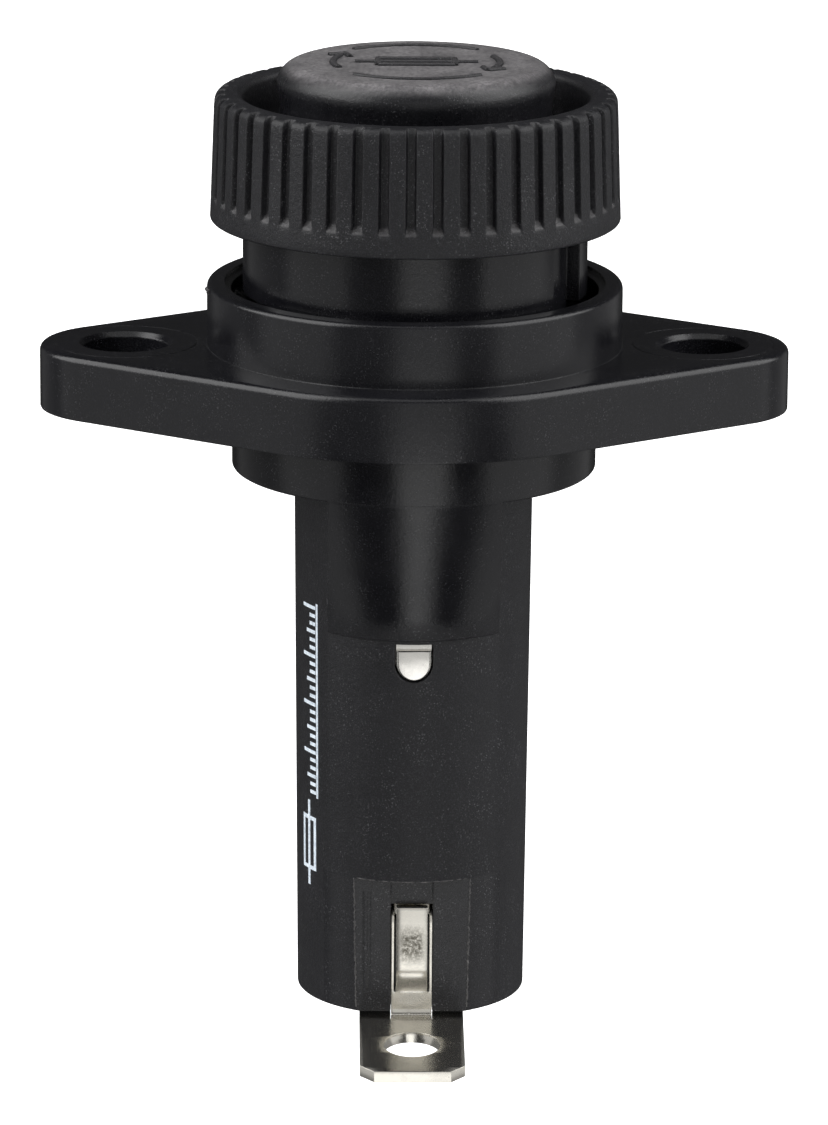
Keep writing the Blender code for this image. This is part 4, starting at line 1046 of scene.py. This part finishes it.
def build_fuse_tube():
    low, high = node_heights("fuse_tube")
    bm = lathe([(3.75, high), (4.5, high), (4.5, low), (3.75, low)], 96, True)
    bm = bevelled(bm, 0.08, 2, 35)
    return place("fuse_tube_body", bm, TUBE_CERAMIC, "fuse_tube", 30)


def build_fuse_clip():
    """Cap with four spring fingers, flared slightly at their tips."""
    roof = CLIP_TOP - 0.5
    outer, inner, foot = 5.75, 5.35, CLIP_BOTTOM
    profile = [(1.5, CLIP_TOP), (7.5, CLIP_TOP), (7.6, CLIP_TOP - 0.1), (7.6, roof), (6.0, roof)]
    profile += [(outer, roof - 0.25), (outer, foot + 1.2), (5.72, foot + 0.6), (outer, foot + 0.05)]
    profile += [(5.4, foot), (5.36, foot + 0.6), (inner, foot + 1.2), (inner, roof), (1.5, roof)]
    bm = lathe(profile, 128, True)
    slots = []
    for index in range(4):
        turn = Matrix.Rotation(math.radians(45 + 90 * index), 4, "Z")
        slot = box((-0.6, -8, CLIP_BOTTOM - 1), (0.6, -4, roof - 2))
        add_mesh(slot, rod(0.6, 4, (0, -6, roof - 2), (0, 1, 0), 24))
        bmesh.ops.transform(slot, matrix=turn, verts=slot.verts)
        slots.append(slot)
    bm = combine(bm, gathered(slots), overlapping=True)
    return place("fuse_clip_cap", bm, CLIP_METAL, "fuse_clip", 30)


def build_retaining_ring():
    low, high = node_heights("retaining_ring")
    ring = bevelled(lathe([(6.3, high), (8.1, high), (8.1, low), (6.3, low)], 128, True), 0.12, 2)
    ring = combine(ring, box((-1, -9, low - 1), (1, -5, high + 1)))
    return place("retaining_ring_body", ring, STEEL, "retaining_ring", 30)


def build_spring():
    """A ground-end compression coil."""
    low, high = node_heights("knob_spring")
    radius, wire = 4.6, 0.35
    turns, per_turn, sides = 6, 40, 12
    count = turns * per_turn
    rings = []
    for index in range(count + 1):
        share = index / count
        rise = smoothstep(0.0, 1.0, share) * 0.35 + share * 0.65
        middle = low + wire + (high - low - 2 * wire) * rise
        section = arc((radius, middle), wire, 0, 360, sides)[:-1]
        rings.append([on_axis(reach, 360 * turns * share, height) for reach, height in section])
    spring = place("knob_spring_coil", skinned(rings), STEEL, "knob_spring", 50)
    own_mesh(spring)
    return spring


def dress_cad_nodes():
    """The inside pieces keep their CAD shape and get a finish of their own."""
    finishes = {"end_contact_rivet": RIVET_BRASS, "clip_stem": RIVET_BRASS, "thrust_washer": STEEL,
                "upper_fuse_disc": FIBRE, "lower_fuse_disc": FIBRE, "fuse_filler": SAND,
                "fuse_element": COPPER}
    for node, material in finishes.items():
        piece = frame["nodes"][node]
        piece.data.materials.clear()
        piece.data.materials.append(material)


# ---------------- stage, light and camera

def build_stage():
    """A large pale floor below the holder; only the camera sees it, so it throws no light upwards."""
    floor_z = CAD_LOW.z - 0.060
    floor = bpy.data.objects.new("studio_floor", to_mesh(box((-4, -4, floor_z - 0.01), (4, 6, floor_z))))
    bpy.context.scene.collection.objects.link(floor)
    nodes = Nodes(bpy.data.materials.new("pale_floor"))
    pale = nodes.set(Base_Color=(0.9, 0.9, 0.9), Roughness=0.8, Emission_Color=(1.0, 1.0, 1.0),
                     Emission_Strength=0.9)
    floor.data.materials.append(pale)
    floor.visible_diffuse = False
    floor.visible_glossy = False
    floor.visible_shadow = False


ROOM_LEVEL = 0.03
LIGHT_EDGE = 2.0
# Soft lights all round the holder: bearing from the camera side in degrees, height in degrees, strength.
SOFT_LIGHTS = (
    ((-11, 21), (-75, -14), 1.25),
    ((-11, 21), (-14, 45), 0.36),
    ((-50, 50), (-13, 40), 0.14),
    ((-95, -47), (-32, 12), 0.46),
    ((-95, -60), (-75, -32), 0.40),
    ((-150, -95), (-75, 12), 0.12),
    ((45, 98), (-32, 12), 0.60),
    ((60, 98), (-75, -32), 0.45),
    ((98, 150), (-75, 12), 0.20),
    ((-115, -47), (12, 66), 3.0),
    ((46, 115), (12, 66), 2.5),
    ((-181, 181), (66, 91), 0.7),
)


def build_world():
    """White to the camera; everything else sees a dim room with the soft lights in it."""
    nodes = Nodes(bpy.data.worlds.new("studio"), "Generated")
    across, along, up = nodes.split(nodes.place)
    degrees = 180 / math.pi
    bearing = nodes.maths("ARCTAN2", across, nodes.times(along, -1.0))
    bearing = nodes.times(bearing, degrees)
    height = nodes.times(nodes.maths("ARCSINE", up), degrees)
    total = ROOM_LEVEL
    for bearings, heights, strength in SOFT_LIGHTS:
        patch = nodes.times(nodes.within(bearing, *bearings, LIGHT_EDGE, "SMOOTHSTEP"),
                            nodes.within(height, *heights, LIGHT_EDGE, "SMOOTHSTEP"))
        total = nodes.maths("ADD", nodes.times(patch, strength), total)
    seen = nodes.add("ShaderNodeLightPath").outputs["Is Camera Ray"]
    background = nodes.tree.nodes["Background"]
    nodes.feed(background.inputs["Strength"], nodes.maths("MAXIMUM", total, seen))
    nodes.feed(background.inputs["Color"], (1.0, 1.0, 1.0))
    bpy.context.scene.world = nodes.owner


def build_camera():
    """The camera stands 385 mm in front of the axis and 92 mm above the panel seat, looking down."""
    distance, height = 0.385, 0.09205
    pitch = math.radians(14.82)
    roll = math.radians(0.40)
    bearing = math.radians(-0.8)
    data = bpy.data.cameras.new("camera")
    data.sensor_width = 36.0
    data.lens = 208.7
    data.shift_x = 0.0009
    data.clip_start = 0.01
    data.clip_end = 20.0
    camera = bpy.data.objects.new("camera", data)
    turn = Matrix.Rotation(math.pi / 2 - pitch, 4, "X") @ Matrix.Rotation(roll, 4, "Z")
    stand = Matrix.Translation((0, -distance, SEAT + height))
    camera.matrix_world = Matrix.Rotation(bearing, 4, "Z") @ stand @ turn
    bpy.context.scene.collection.objects.link(camera)
    bpy.context.scene.camera = camera
    bpy.context.scene.view_settings.view_transform = "Standard"


build_housing()
build_flash()
build_print()
build_knob()
build_button_marks()
build_end_terminal()
build_side_terminal()
build_upper_contact()
build_side_rivet()
build_ferrule("upper_ferrule_cap", "upper_ferrule", FUSE_TOP, -1)
build_ferrule("lower_ferrule_cap", "lower_ferrule", FUSE_BOTTOM, 1)
build_fuse_tube()
build_fuse_clip()
build_retaining_ring()
build_spring()
dress_cad_nodes()
build_stage()
build_world()
build_camera()
